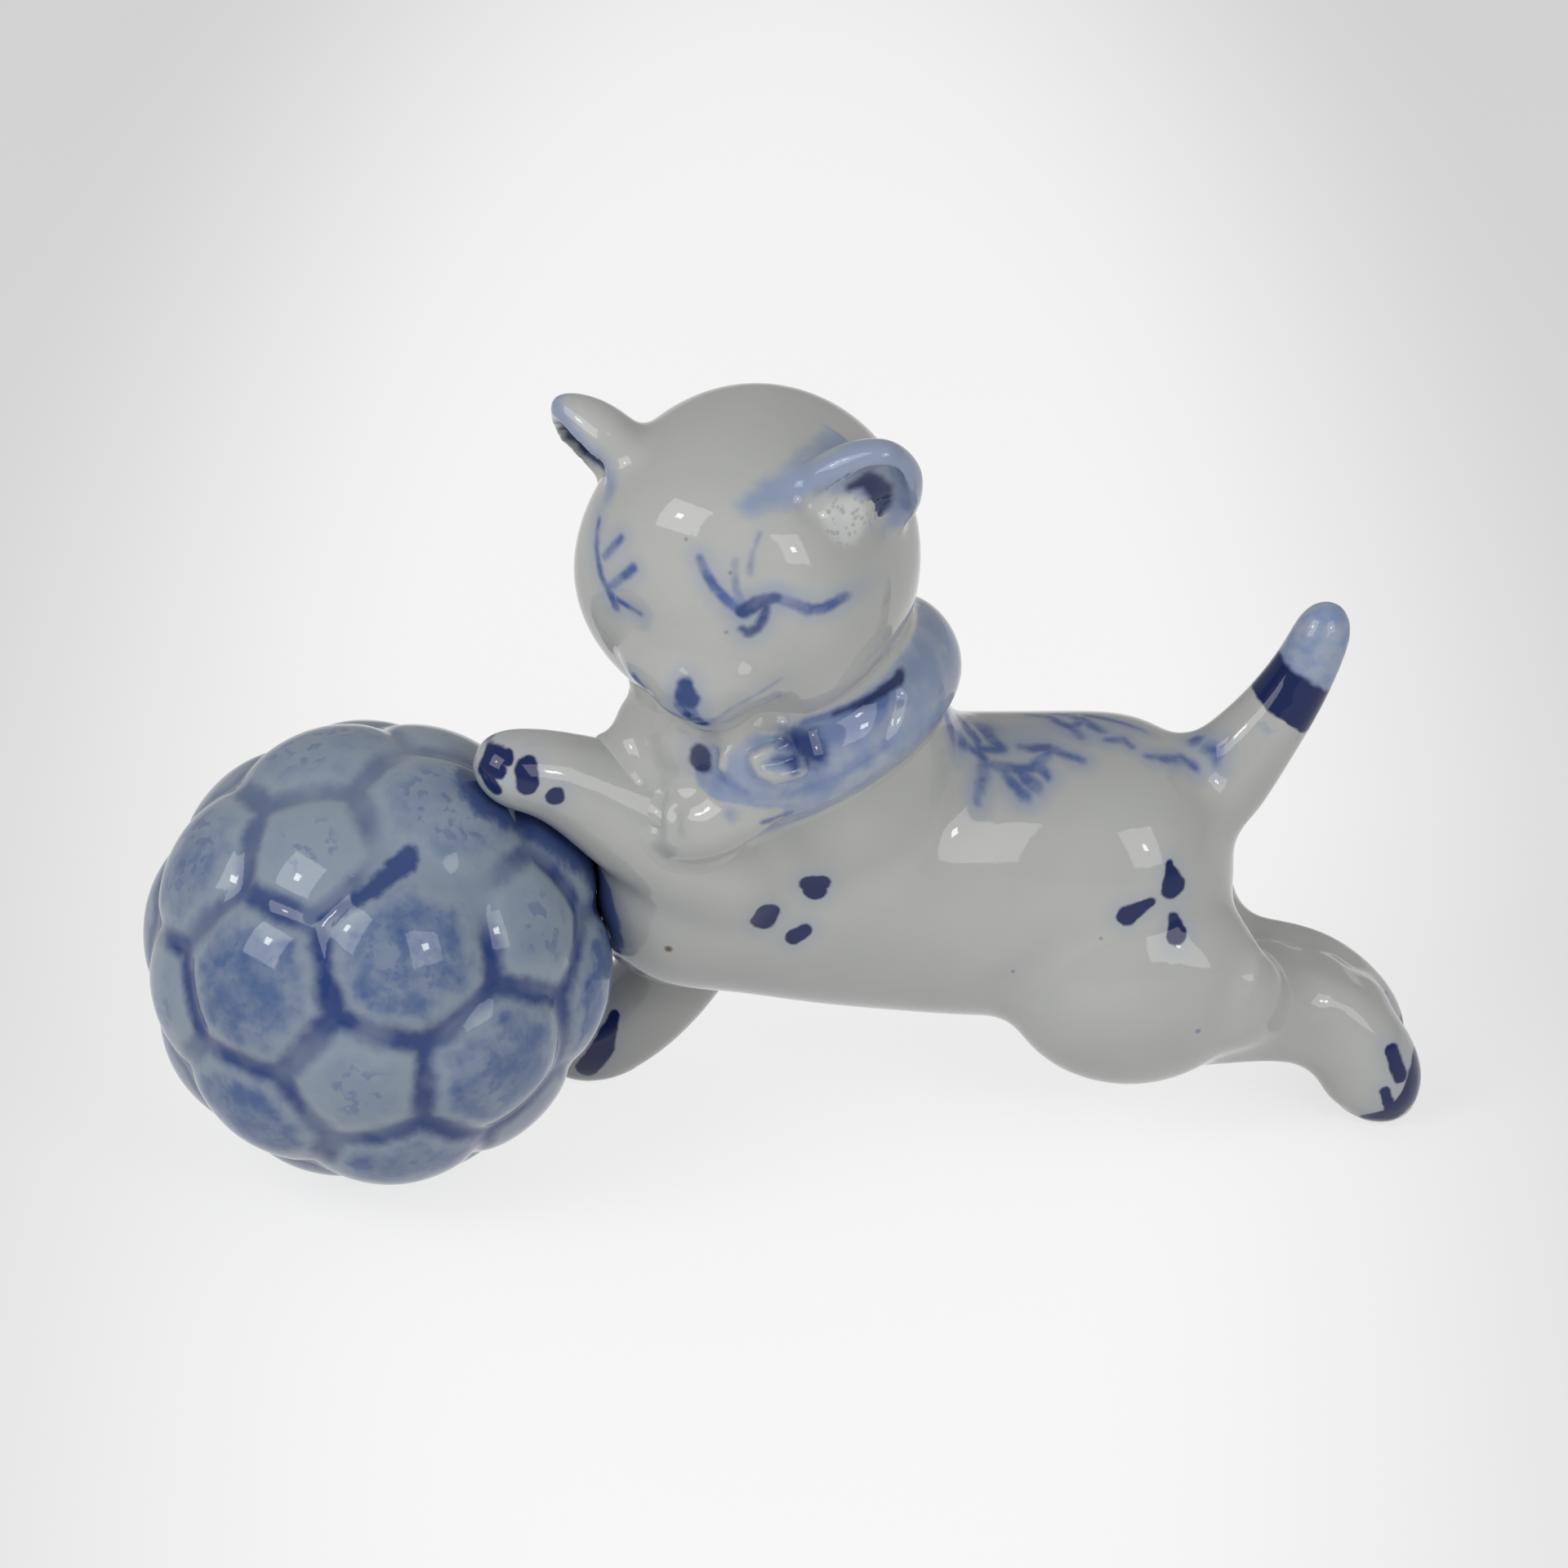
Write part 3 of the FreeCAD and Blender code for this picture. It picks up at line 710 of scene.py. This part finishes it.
# colours, all linear
PORCELAIN = (0.445, 0.45, 0.43, 1)
GREYED = (0.40, 0.41, 0.40, 1)        # porcelain under a thicker coat
INK = (0.004, 0.014, 0.085, 1)        # cobalt, from a full brush to thin washes
DEEP = (0.013, 0.040, 0.17, 1)
LINE = (0.045, 0.09, 0.28, 1)
CLOUD = (0.10, 0.16, 0.37, 1)
WASH = (0.20, 0.27, 0.44, 1)
PALE_WASH = (0.32, 0.36, 0.46, 1)
BALL_PALE = (0.255, 0.305, 0.37, 1)
BALL_WASH = (0.055, 0.105, 0.25, 1)
BALL_SEAM = (0.015, 0.042, 0.17, 1)
IRON = (0.09, 0.05, 0.02, 1)          # specks that were in the clay
FROTH_AND_GLINTS = (0.62, 0.63, 0.62, 1)         # bubbled glaze, painted lighter as the highlights glinting on its bubbles


def bare_glaze(paint):
    """The white body under its glaze, with the slight clouds of a hand-dipped coat."""
    return paint.mix(paint.patches(7.0, 0.35, 0.7) * 0.6, PORCELAIN, GREYED)


def brushed(paint, colour, distance, ink, strength, soft=0.10, halo=0.0, watery=0.0):
    """Ink laid where distance is negative, with an edge that the glaze has softened.

    A halo of blue bleeds from it, and a watery stroke is paler where the brush ran thin.
    """
    if halo:
        colour = paint.mix(paint.between(distance, 1.3, -0.2) * halo, colour, WASH)
    if watery:
        strength = (paint.patches(1.3, 0.3, 0.62) * watery + (1 - watery)) * strength
    return paint.mix(paint.between(distance, soft, -soft) * strength, colour, ink)


# Strokes of the brush: lists of (across, up, half width), in millimetres on a flat view of the piece.
FLANK_TOUCHES = [
    [(26.7, 20.45, 0.55), (27.6, 20.45, 0.55)], [(27.15, 20.0, 0.78)],
    [(24.2, 18.6, 0.78), (24.0, 18.1, 0.80)],
    [(25.8, 16.6, 0.52), (26.5, 17.1, 0.50)],
    [(49.1, 20.5, 0.22), (49.35, 19.1, 0.78)],
    [(49.4, 17.1, 0.30), (49.6, 16.1, 0.66)],
    [(46.5, 17.5, 0.70), (47.9, 18.3, 0.35)],
    [(63.7, 5.9, 0.45), (64.4, 4.0, 0.45)],
]
PAW_TOUCHES = [
    [(8.5, 30.2, 0.42), (7.6, 30.2, 0.50), (7.2, 29.2, 0.50), (7.8, 28.3, 0.42)], [(7.9, 29.5, 0.60)],
    [(9.7, 29.55, 0.70), (9.75, 28.7, 0.72)],
    [(11.4, 27.75, 0.62)],
]
TOE_TOUCHES = [
    [(66.0, 4.4, 0.9), (65.2, 2.3, 0.9), (63.9, 1.2, 0.7), (62.3, 0.9, 0.35)],
    [(63.4, 3.2, 0.35), (63.9, 1.6, 0.4)],
    [(14.4, 5.6, 0.35), (13.6, 3.4, 0.75), (12.6, 1.9, 0.8)],
]
BACK_STROKES = [
    [(35.4, 3.6, 0.28), (36.5, 4.7, 0.22), (37.4, 4.6, 0.16), (37.8, 3.9, 0.18), (37.6, 3.3, 0.22),
     (37.2, 1.8, 0.06)],
    [(36.3, 6.7, 0.30), (37.1, 5.7, 0.24), (37.4, 4.9, 0.14)],
    [(37.7, 7.4, 0.34), (38.2, 6.0, 0.26), (38.8, 5.3, 0.20), (37.6, 5.0, 0.12)],
    [(38.1, 3.9, 0.16), (38.9, 3.8, 0.20), (39.8, 3.8, 0.18), (40.6, 4.0, 0.16), (41.2, 4.6, 0.20),
     (41.8, 5.3, 0.14)],
    [(38.9, 3.8, 0.20), (39.3, 3.1, 0.20), (39.9, 2.5, 0.18), (40.3, 2.4, 0.10)],
    [(39.8, 3.8, 0.20), (40.2, 3.3, 0.28), (40.9, 2.9, 0.20)],
    [(41.1, 4.1, 0.20), (41.6, 3.5, 0.08)],
    [(40.0, 5.5, 0.08), (40.8, 5.5, 0.18), (41.7, 5.6, 0.20), (42.8, 5.2, 0.16), (43.8, 4.8, 0.05)],
    [(40.6, 9.8, 0.08), (41.9, 9.5, 0.18), (42.6, 8.4, 0.20), (43.3, 8.0, 0.24), (43.9, 8.9, 0.16),
     (43.3, 9.9, 0.16), (42.3, 10.2, 0.10)],
    [(43.9, 9.5, 0.16), (44.6, 8.1, 0.22), (45.1, 7.6, 0.10)],
    [(44.3, 10.0, 0.16), (45.9, 9.4, 0.16), (47.8, 8.6, 0.08)],
    [(43.3, 7.8, 0.16), (43.8, 6.8, 0.10)],
    [(45.4, 6.7, 0.08), (46.4, 6.9, 0.16), (46.9, 6.4, 0.06)],
    [(47.9, 5.8, 0.06), (49.1, 6.2, 0.18), (50.1, 7.0, 0.16), (50.9, 6.6, 0.14)],
    [(51.1, 8.6, 0.34)],
    [(51.7, 7.9, 0.16), (52.3, 7.2, 0.20)],
]
BACK_WASH = [[(39.5, 6.8, 0.8), (43.5, 8.0, 1.6), (46.5, 8.3, 0.8)]]
CHEST_SPECK = [[(18.1, 15.7, 0.24)]]
PINHOLES = [[(39.5, 13.5, 0.12)], [(51.1, 9.6, 0.16)], [(44.9, 16.0, 0.10)]]


def body_glaze():
    paint = Paint("painted_white_glaze")
    colour = bare_glaze(paint)
    rough_edge = paint.waver(0.9, 0.35)
    profile = paint.view(RIGHTWARD, UP)
    near_side = paint.barred(AWAY, 5.0, 7.0)
    paw = paint.painted(profile, PAW_TOUCHES) + near_side
    touches = paw.least(paint.painted(profile, FLANK_TOUCHES + TOE_TOUCHES)) + rough_edge
    below_back = paint.barred(UP, 23.5, 22.0)
    plan = paint.view(RIGHTWARD, AWAY)
    sprig = paint.painted(plan, BACK_STROKES) + below_back + rough_edge
    sprig_wash = paint.painted(plan, BACK_WASH) + below_back
    colour = paint.mix(paint.between(sprig_wash, 1.4, -1.0) * 0.6, colour, PALE_WASH)
    colour = brushed(paint, colour, sprig - 0.16, LINE, 0.85, soft=0.28, halo=0.5, watery=0.5)
    colour = brushed(paint, colour, touches, INK, 1.0, halo=0.22)
    tail_run = paint.along(TAIL_AXIS) + paint.waver(1.6, 0.9)
    tip = paint.between(tail_run, BAND_TOP - 0.2, BAND_TOP + 0.2)
    band = paint.between(tail_run, BAND_FOOT - 0.12, BAND_FOOT + 0.12)
    smear = paint.between(tail_run, BAND_FOOT - 1.6, BAND_FOOT - 0.8) * paint.patches(1.1, 0.5, 0.7)
    colour = paint.mix(smear * 0.45, colour, WASH)
    colour = paint.mix(band, colour, INK)
    colour = paint.mix(tip, colour, paint.mix(paint.patches(1.2, 0.3, 0.7), WASH, PALE_WASH))
    # blue where the body meets the ball: a painted outline that also stands for the shade in the crease
    from_ball = paint.span(BALL_CENTRE) * (1 / MM) - BALL_RADIUS / MM
    ball_joint_blue_and_shade = from_ball + paint.waver(1.0, 0.8)
    colour = paint.mix(paint.between(ball_joint_blue_and_shade, 1.5, 0.6) * 0.3, colour, WASH)
    colour = paint.mix(paint.between(ball_joint_blue_and_shade, 0.55, 0.25) * 0.85, colour, LINE)
    iron = paint.painted(profile, CHEST_SPECK) + near_side
    colour = brushed(paint, colour, iron, IRON, 0.9, soft=0.12)
    pinholes = paint.painted(profile, PINHOLES) + near_side
    colour = brushed(paint, colour, pinholes, LINE, 0.6, soft=0.12)
    return glaze_shader(paint, colour)


FACE_DENSE = [
    [(4.1, 1.1, 0.36), (4.9, 1.7, 0.42), (5.9, 2.1, 0.26)],
    [(5.4, 1.5, 0.20), (5.25, 0.8, 0.22), (4.85, 0.05, 0.20), (4.3, -0.35, 0.24), (4.0, -0.1, 0.16)],
    [(0.90, -3.7, 0.48), (1.0, -4.4, 0.74)],
    [(0.9, -5.9, 0.30), (1.25, -6.5, 0.42)],
]
FACE_LINES = [
    [(-6.0, 4.6, 0.08), (-5.85, 3.2, 0.12), (-5.4, 1.6, 0.16), (-4.7, 0.6, 0.20), (-4.4, -0.2, 0.24)],
    [(-4.2, 0.3, 0.14), (-2.5, -0.1, 0.07)],
    [(-5.1, 2.9, 0.12), (-3.9, 4.4, 0.15)],
    [(-4.7, 1.1, 0.16), (-2.8, 2.9, 0.19)],
    [(1.55, 4.3, 0.14), (2.0, 3.4, 0.20), (2.9, 2.2, 0.26), (4.0, 1.1, 0.22)],
    [(5.9, 2.1, 0.22), (7.0, 1.7, 0.24), (7.7, 1.2, 0.28), (8.4, 1.2, 0.26), (9.1, 1.55, 0.24)],
    [(-2.9, -4.3, 0.16), (-2.2, -5.2, 0.20), (-1.0, -6.0, 0.20), (0.6, -6.4, 0.20)],
    [(0.75, -5.0, 0.60), (1.05, -6.2, 0.50)],
]
FACE_FAINT = [
    [(3.65, 4.3, 0.20), (3.75, 2.6, 0.24), (4.2, 1.5, 0.28)],
    [(4.8, 5.8, 0.12), (4.6, 4.8, 0.16), (4.5, 3.7, 0.20)],
    [(1.75, -6.5, 0.10), (3.9, -4.9, 0.12), (5.9, -3.6, 0.06)],
    [(2.6, -6.6, 0.08), (5.4, -5.1, 0.06)],
]
EAR_WASHES = [
    [(-10.1, 10.3, 0.5), (-8.0, 8.4, 0.7), (-5.8, 6.4, 0.5)],
    [(4.0, 7.4, 0.5), (5.6, 8.0, 0.9), (10.5, 10.6, 0.9), (11.9, 9.3, 1.0), (11.9, 7.4, 0.9),
     (10.6, 4.6, 0.6)],
]
# a dark crescent deep in the near ear's cup: painted shade
EAR_SHADE_CRESCENT = [
    [(29.2, 48.2, 0.3), (30.2, 48.4, 0.6), (31.0, 47.4, 0.75), (31.0, 46.2, 0.7), (30.6, 45.2, 0.35)],
]
FACE_SPECKS = [[(3.4, 3.6, 0.12)], [(0.6, 5.3, 0.10)], [(3.1, -0.3, 0.10)]]
FROTH_PLACE = (28.8, -5.4, 46.1)      # bubbles that the glaze froze round, in the near ear, painted as pale specks that stand for their highlights
FROTH_BUBBLE = 0.42


def head_glaze():
    paint = Paint("painted_face_glaze")
    colour = bare_glaze(paint)
    behind = paint.barred(FACING, 0.5, -1.0, HEAD_CENTRE)
    face = paint.view(FACE_LEFT, UP, HEAD_CENTRE)
    profile = paint.view(RIGHTWARD, UP)
    rough_edge = paint.waver(0.7, 0.22) + behind
    washes = paint.painted(face, EAR_WASHES) + paint.waver(1.5, 1.2) + behind
    colour = paint.mix(paint.between(washes, 0.7, -0.5) * 0.75, colour, WASH)
    faint = paint.painted(face, FACE_FAINT) + rough_edge
    lines = paint.painted(face, FACE_LINES) + rough_edge
    dense = paint.painted(face, FACE_DENSE) + rough_edge
    colour = brushed(paint, colour, faint, LINE, 0.5, soft=0.2, halo=0.1, watery=0.5)
    colour = brushed(paint, colour, lines - 0.09, LINE, 0.95, soft=0.2, halo=0.35, watery=0.45)
    colour = brushed(paint, colour, dense - 0.08, DEEP, 0.95, soft=0.2, halo=0.35, watery=0.25)
    # painted shade in the ear cups: the blue grows darker with the cup's depth, and the deep far ear and a
    # crescent in the near ear are inked dark as shade
    cup = paint.attribute("cup") + paint.waver(1.0, 0.7)
    colour = paint.mix(paint.between(cup, 0.25, 0.7) * 0.55, colour, WASH)
    far_ear = paint.between(paint.along(FACE_LEFT, HEAD_CENTRE), 0.0, -1.0)
    colour = paint.mix(paint.between(cup, 0.35, 0.75) * far_ear * 0.95, colour, INK)
    outside_cup = paint.between(cup, 0.3, 0.0) * OUT_OF_REACH
    crescent_shade = paint.painted(profile, EAR_SHADE_CRESCENT) + rough_edge + outside_cup
    colour = brushed(paint, colour, crescent_shade, INK, 0.95, soft=0.3, halo=0.3)
    # bubbled glaze in the near ear, painted as pale specks: partly the glaze's froth, partly painted
    # highlights glinting on it
    cells = {"Vector": paint.place, "Scale": 1 / (FROTH_BUBBLE * MM)}
    bubbles = paint.node("ShaderNodeTexVoronoi", {}, cells, output="Distance")
    froth_and_glints = paint.between(paint.span(at(*FROTH_PLACE)), 2.0 * MM, 1.0 * MM)
    colour = paint.mix(froth_and_glints * paint.between(bubbles, 0.25, 0.5) * 0.8, colour, FROTH_AND_GLINTS)
    specks = paint.painted(face, FACE_SPECKS) + behind
    colour = brushed(paint, colour, specks, IRON, 0.5)
    return glaze_shader(paint, colour)


BOW_DARKS = [
    [(20.2, 30.35, 0.66), (20.2, 29.9, 0.70)],
    [(28.3, 33.0, 0.12), (30.2, 33.4, 0.28), (32.2, 34.1, 0.40)],
]
BOW_PATCH = [
    [(25.4, 32.1, 0.40), (26.7, 31.4, 0.80), (27.3, 30.6, 0.60)],
    [(24.9, 31.0, 0.2), (25.9, 30.8, 0.4)],
]
BOW_LINES = [
    [(24.0, 26.6, 0.14), (25.7, 26.7, 0.20)],
    [(26.4, 32.6, 0.20), (28.3, 33.0, 0.30), (30.2, 33.3, 0.50), (31.2, 33.3, 0.45)],
]
BOW_CLOUDS = [
    [(26.3, 31.6, 0.9), (29.0, 32.3, 0.9), (31.6, 33.4, 0.7)],
    [(22.0, 27.1, 0.25)],
    [(21.6, 29.4, 0.25), (22.8, 28.8, 0.15)],
    [(25.5, 28.3, 0.15), (28.9, 29.4, 0.2), (31.5, 30.6, 0.2)],
]


def bow_glaze():
    paint = Paint("ribbon_glaze")
    colour = bare_glaze(paint)
    far_side = paint.barred(AWAY, 3.0, 5.0)
    profile = paint.view(RIGHTWARD, UP)
    blue = paint.between(paint.attribute("blue") + paint.waver(1.3, 0.5), -0.15, 0.25)
    wash = paint.mix(paint.patches(2.2, 0.3, 0.7), WASH, PALE_WASH)
    colour = paint.mix(blue * 0.85, colour, wash)
    rough_edge = paint.waver(0.8, 0.35) + far_side
    clouds = paint.painted(profile, BOW_CLOUDS) + paint.waver(1.1, 1.4) + far_side
    colour = paint.mix(paint.between(clouds, 0.7, -0.6) * 0.7, colour, CLOUD)
    lines = paint.painted(profile, BOW_LINES) + rough_edge
    colour = brushed(paint, colour, lines, LINE, 0.8, soft=0.2)
    patch = paint.painted(profile, BOW_PATCH) + paint.waver(0.9, 0.9) + far_side
    colour = brushed(paint, colour, patch, BALL_SEAM, 0.95, soft=0.55, halo=0.5)
    darks = paint.painted(profile, BOW_DARKS) + rough_edge
    colour = brushed(paint, colour, darks, INK, 0.9, soft=0.2, halo=0.3)
    return glaze_shader(paint, colour)


BALL_SLASH = [[(-2.5, 22.6, 0.18), (0.4, 24.2, 0.40), (2.7, 25.5, 0.64)]]


def ball_glaze():
    paint = Paint("ball_glaze")
    seam = paint.attribute("seam")
    clouds = paint.noise(2.8, detail=3.0, roughness=0.55)
    mottle = paint.noise(0.5)
    pigment = paint.between(clouds * 0.85 + mottle * 0.15, 0.36, 0.62)
    dab = paint.patches(3.4, 0.44, 0.58)
    inside = paint.between(seam + paint.waver(1.4, 1.8), 1.0, 2.3)
    # painted light: the washes and seam lines are painted paler towards the top of the ball, as lit from
    # above
    light_from_top = paint.between(paint.along(UP), 20.0, 29.5)
    load = paint.attribute("wash") * (inside * 0.75 + 0.25) * (1 - light_from_top * 0.7)
    colour = paint.mix(load * (pigment * 0.50 + dab * 0.25 + 0.35), BALL_PALE, BALL_WASH)
    spots = paint.between(seam, 1.9, 2.9) * paint.patches(0.9, 0.52, 0.60, detail=3.0)
    colour = paint.mix(spots * 0.4, colour, BALL_WASH)
    broken = paint.waver(3.2, 1.3) + paint.waver(0.6, 0.4)
    worn = paint.between(paint.span(at(*WORN_PLACE)), 3.6 * MM, 5.5 * MM)
    strength = paint.patches(4.6, 0.38, 0.58) * 0.45 + 0.55
    strength = strength * (1 - light_from_top * 0.5) * (worn * 0.8 + 0.2)
    line = paint.between(seam + broken, 1.25, 0.3)
    colour = paint.mix(line * strength, colour, BALL_SEAM)
    # dark blue where the kitten meets the ball: a painted outline that also stands for the shade in the
    # crease
    contact = paint.attribute("contact") + paint.waver(1.2, 1.2)
    colour = paint.mix(paint.between(contact, 1.7, 0.9) * 0.8, colour, BALL_SEAM)
    profile = paint.view(RIGHTWARD, UP)
    far_side = paint.barred(AWAY, -6.0, -4.0)
    slash = paint.painted(profile, BALL_SLASH) + far_side
    colour = brushed(paint, colour, slash + paint.waver(0.8, 0.5), BALL_SEAM, 0.9, soft=0.2)
    return glaze_shader(paint, colour)


# ---- studio ----
FLOOR_SEEN = 0.75             # how much the camera sees of the backdrop with its painted pool of light; the rest takes the shadow
POOL_MIDDLE = (25.25, 70, 0)  # of the painted pool of light round the figurine, an oval that is five times as long
POOL_SQUEEZE = 0.2
POOL_EDGE = (24.0, 72.0)      # millimetres across from its middle
FAR_EDGE = (80.0, 300.0)
LIGHT_POOL = (1.02, 1.02, 1.02, 1)
AROUND = (0.70, 0.70, 0.70, 1)
FAR_OFF = (0.6, 0.6, 0.6, 1)
FLOOR_COLOUR = (0.86, 0.86, 0.86, 1)
FLOOR_SIZE = 2.0
SKY_LIGHT = 0.40
# Windows: a name, the direction they stand in, their width and height in metres and their power in watts.
WINDOWS = [
    ("left", (-0.64, -0.48, 0.61), 0.31, 0.31, 0.95),
    ("right", (0.50, -0.74, 0.45), 0.26, 0.29, 0.60),
]
WINDOW_DISTANCE = 0.5
LAMP_DISTANCE = 0.49          # a small lamp in the middle of each window makes the heart of its highlight
LAMP_SIZE = 0.05
LAMP_POWER = 0.1


def floor_paint():
    """A pale floor that takes shadows, and that eyes and reflections see as a backdrop whose painted pool of
    light is brightest round the figurine and greyer farther off.
    """
    paint = Paint("studio_floor")
    paint.shader.inputs["Base Color"].default_value = FLOOR_COLOUR
    paint.shader.inputs["Roughness"].default_value = 0.9
    seen = paint.node("ShaderNodeLightPath", {}, {}, output="Is Camera Ray")
    for ray in ("Is Glossy Ray", "Is Transmission Ray"):
        seen = seen.most(paint.node("ShaderNodeLightPath", {}, {}, output=ray))
    oval = paint.view(RIGHTWARD, AWAY * POOL_SQUEEZE, at(*POOL_MIDDLE))
    away = paint.vector("LENGTH", oval, output=1)
    # painted light: the backdrop is brightest in a pool round the figurine and dims to grey farther off
    shade = paint.mix(paint.between(away, *POOL_EDGE), LIGHT_POOL, AROUND)
    shade = paint.mix(paint.between(away, *FAR_EDGE), shade, FAR_OFF)
    backdrop = paint.node("ShaderNodeEmission", {}, {"Color": shade})
    surfaces = {0: seen * FLOOR_SEEN, 1: Field(paint, paint.shader.outputs[0]), 2: backdrop}
    blend = paint.node("ShaderNodeMixShader", {}, surfaces)
    paint.tree.links.new(blend.socket, paint.tree.nodes["Material Output"].inputs["Surface"])
    return paint.material


def studio():
    grid = bmesh.new()
    bmesh.ops.create_grid(grid, x_segments=1, y_segments=1, size=FLOOR_SIZE)
    floor = link("floor", grid)
    floor.data.materials.append(floor_paint())
    world = bpy.data.worlds.new("studio")
    bpy.context.scene.world = world
    world.use_nodes = True
    sky = world.node_tree.nodes["Background"]
    sky.inputs["Color"].default_value = (1, 1, 1, 1)
    sky.inputs["Strength"].default_value = SKY_LIGHT
    for side, direction, wide, tall, power in WINDOWS:
        softbox("window_" + side, direction, WINDOW_DISTANCE, wide, tall, power)
        softbox("lamp_" + side, direction, LAMP_DISTANCE, LAMP_SIZE, LAMP_SIZE, LAMP_POWER)


def softbox(name, direction, distance, wide, tall, power):
    """A rectangular light, like a window, that faces the figurine."""
    lamp = bpy.data.lights.new(name, "AREA")
    lamp.shape = "RECTANGLE"
    lamp.size = wide
    lamp.size_y = tall
    lamp.energy = power
    light = bpy.data.objects.new(name, lamp)
    away = Vector(direction).normalized()
    light.location = TARGET + away * distance
    light.rotation_euler = away.to_track_quat("Z", "Y").to_euler()
    bpy.context.scene.collection.objects.link(light)


def aim_camera():
    """Long lens, level with a viewer who looks down on a shelf."""
    data = bpy.data.cameras.new("camera")
    camera = bpy.data.objects.new("camera", data)
    bpy.context.scene.collection.objects.link(camera)
    away = Vector((0, -math.cos(CAMERA_TILT), math.sin(CAMERA_TILT)))
    camera.location = TARGET + away * CAMERA_DISTANCE
    camera.rotation_euler = away.to_track_quat("Z", "Y").to_euler()
    data.sensor_width = 36.0
    data.lens = data.sensor_width * CAMERA_DISTANCE / VIEW_WIDTH
    bpy.context.scene.camera = camera
    bpy.context.scene.view_settings.view_transform = "Standard"


# ---- where things are ----
ball_low, ball_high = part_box("ball")
head_low, head_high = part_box("head")
BALL_RADIUS = (ball_high.z - ball_low.z) / 2
BALL_CENTRE = Vector((0, 0, BALL_RADIUS))
HEAD_CENTRE = (head_low + head_high) / 2 + AWAY * (0.6 * MM)
FACING = Vector((-math.sin(math.radians(FACE_YAW)), -math.cos(math.radians(FACE_YAW)), 0))
FACE_LEFT = Vector((math.cos(math.radians(FACE_YAW)), -math.sin(math.radians(FACE_YAW)), 0))
TAIL_AXIS = Vector((0.585, 0.0, 0.811))
BAND_FOOT = 55.0              # the tail's dark band, measured along the tail's axis from the origin
BAND_TOP = 58.0

CAMERA_TILT = math.radians(25.0)
CAMERA_DISTANCE = 0.375
VIEW_WIDTH = 0.0983           # of the picture, at the figurine
TARGET = at(25.25, 7.3, 22.93)

aim_camera()
studio()
body = make_body()
ball = make_ball(body)
head = make_head()
bow = make_bow(body, head)
for piece, glaze in ((body, body_glaze), (ball, ball_glaze), (head, head_glaze), (bow, bow_glaze)):
    piece.data.materials.append(glaze())
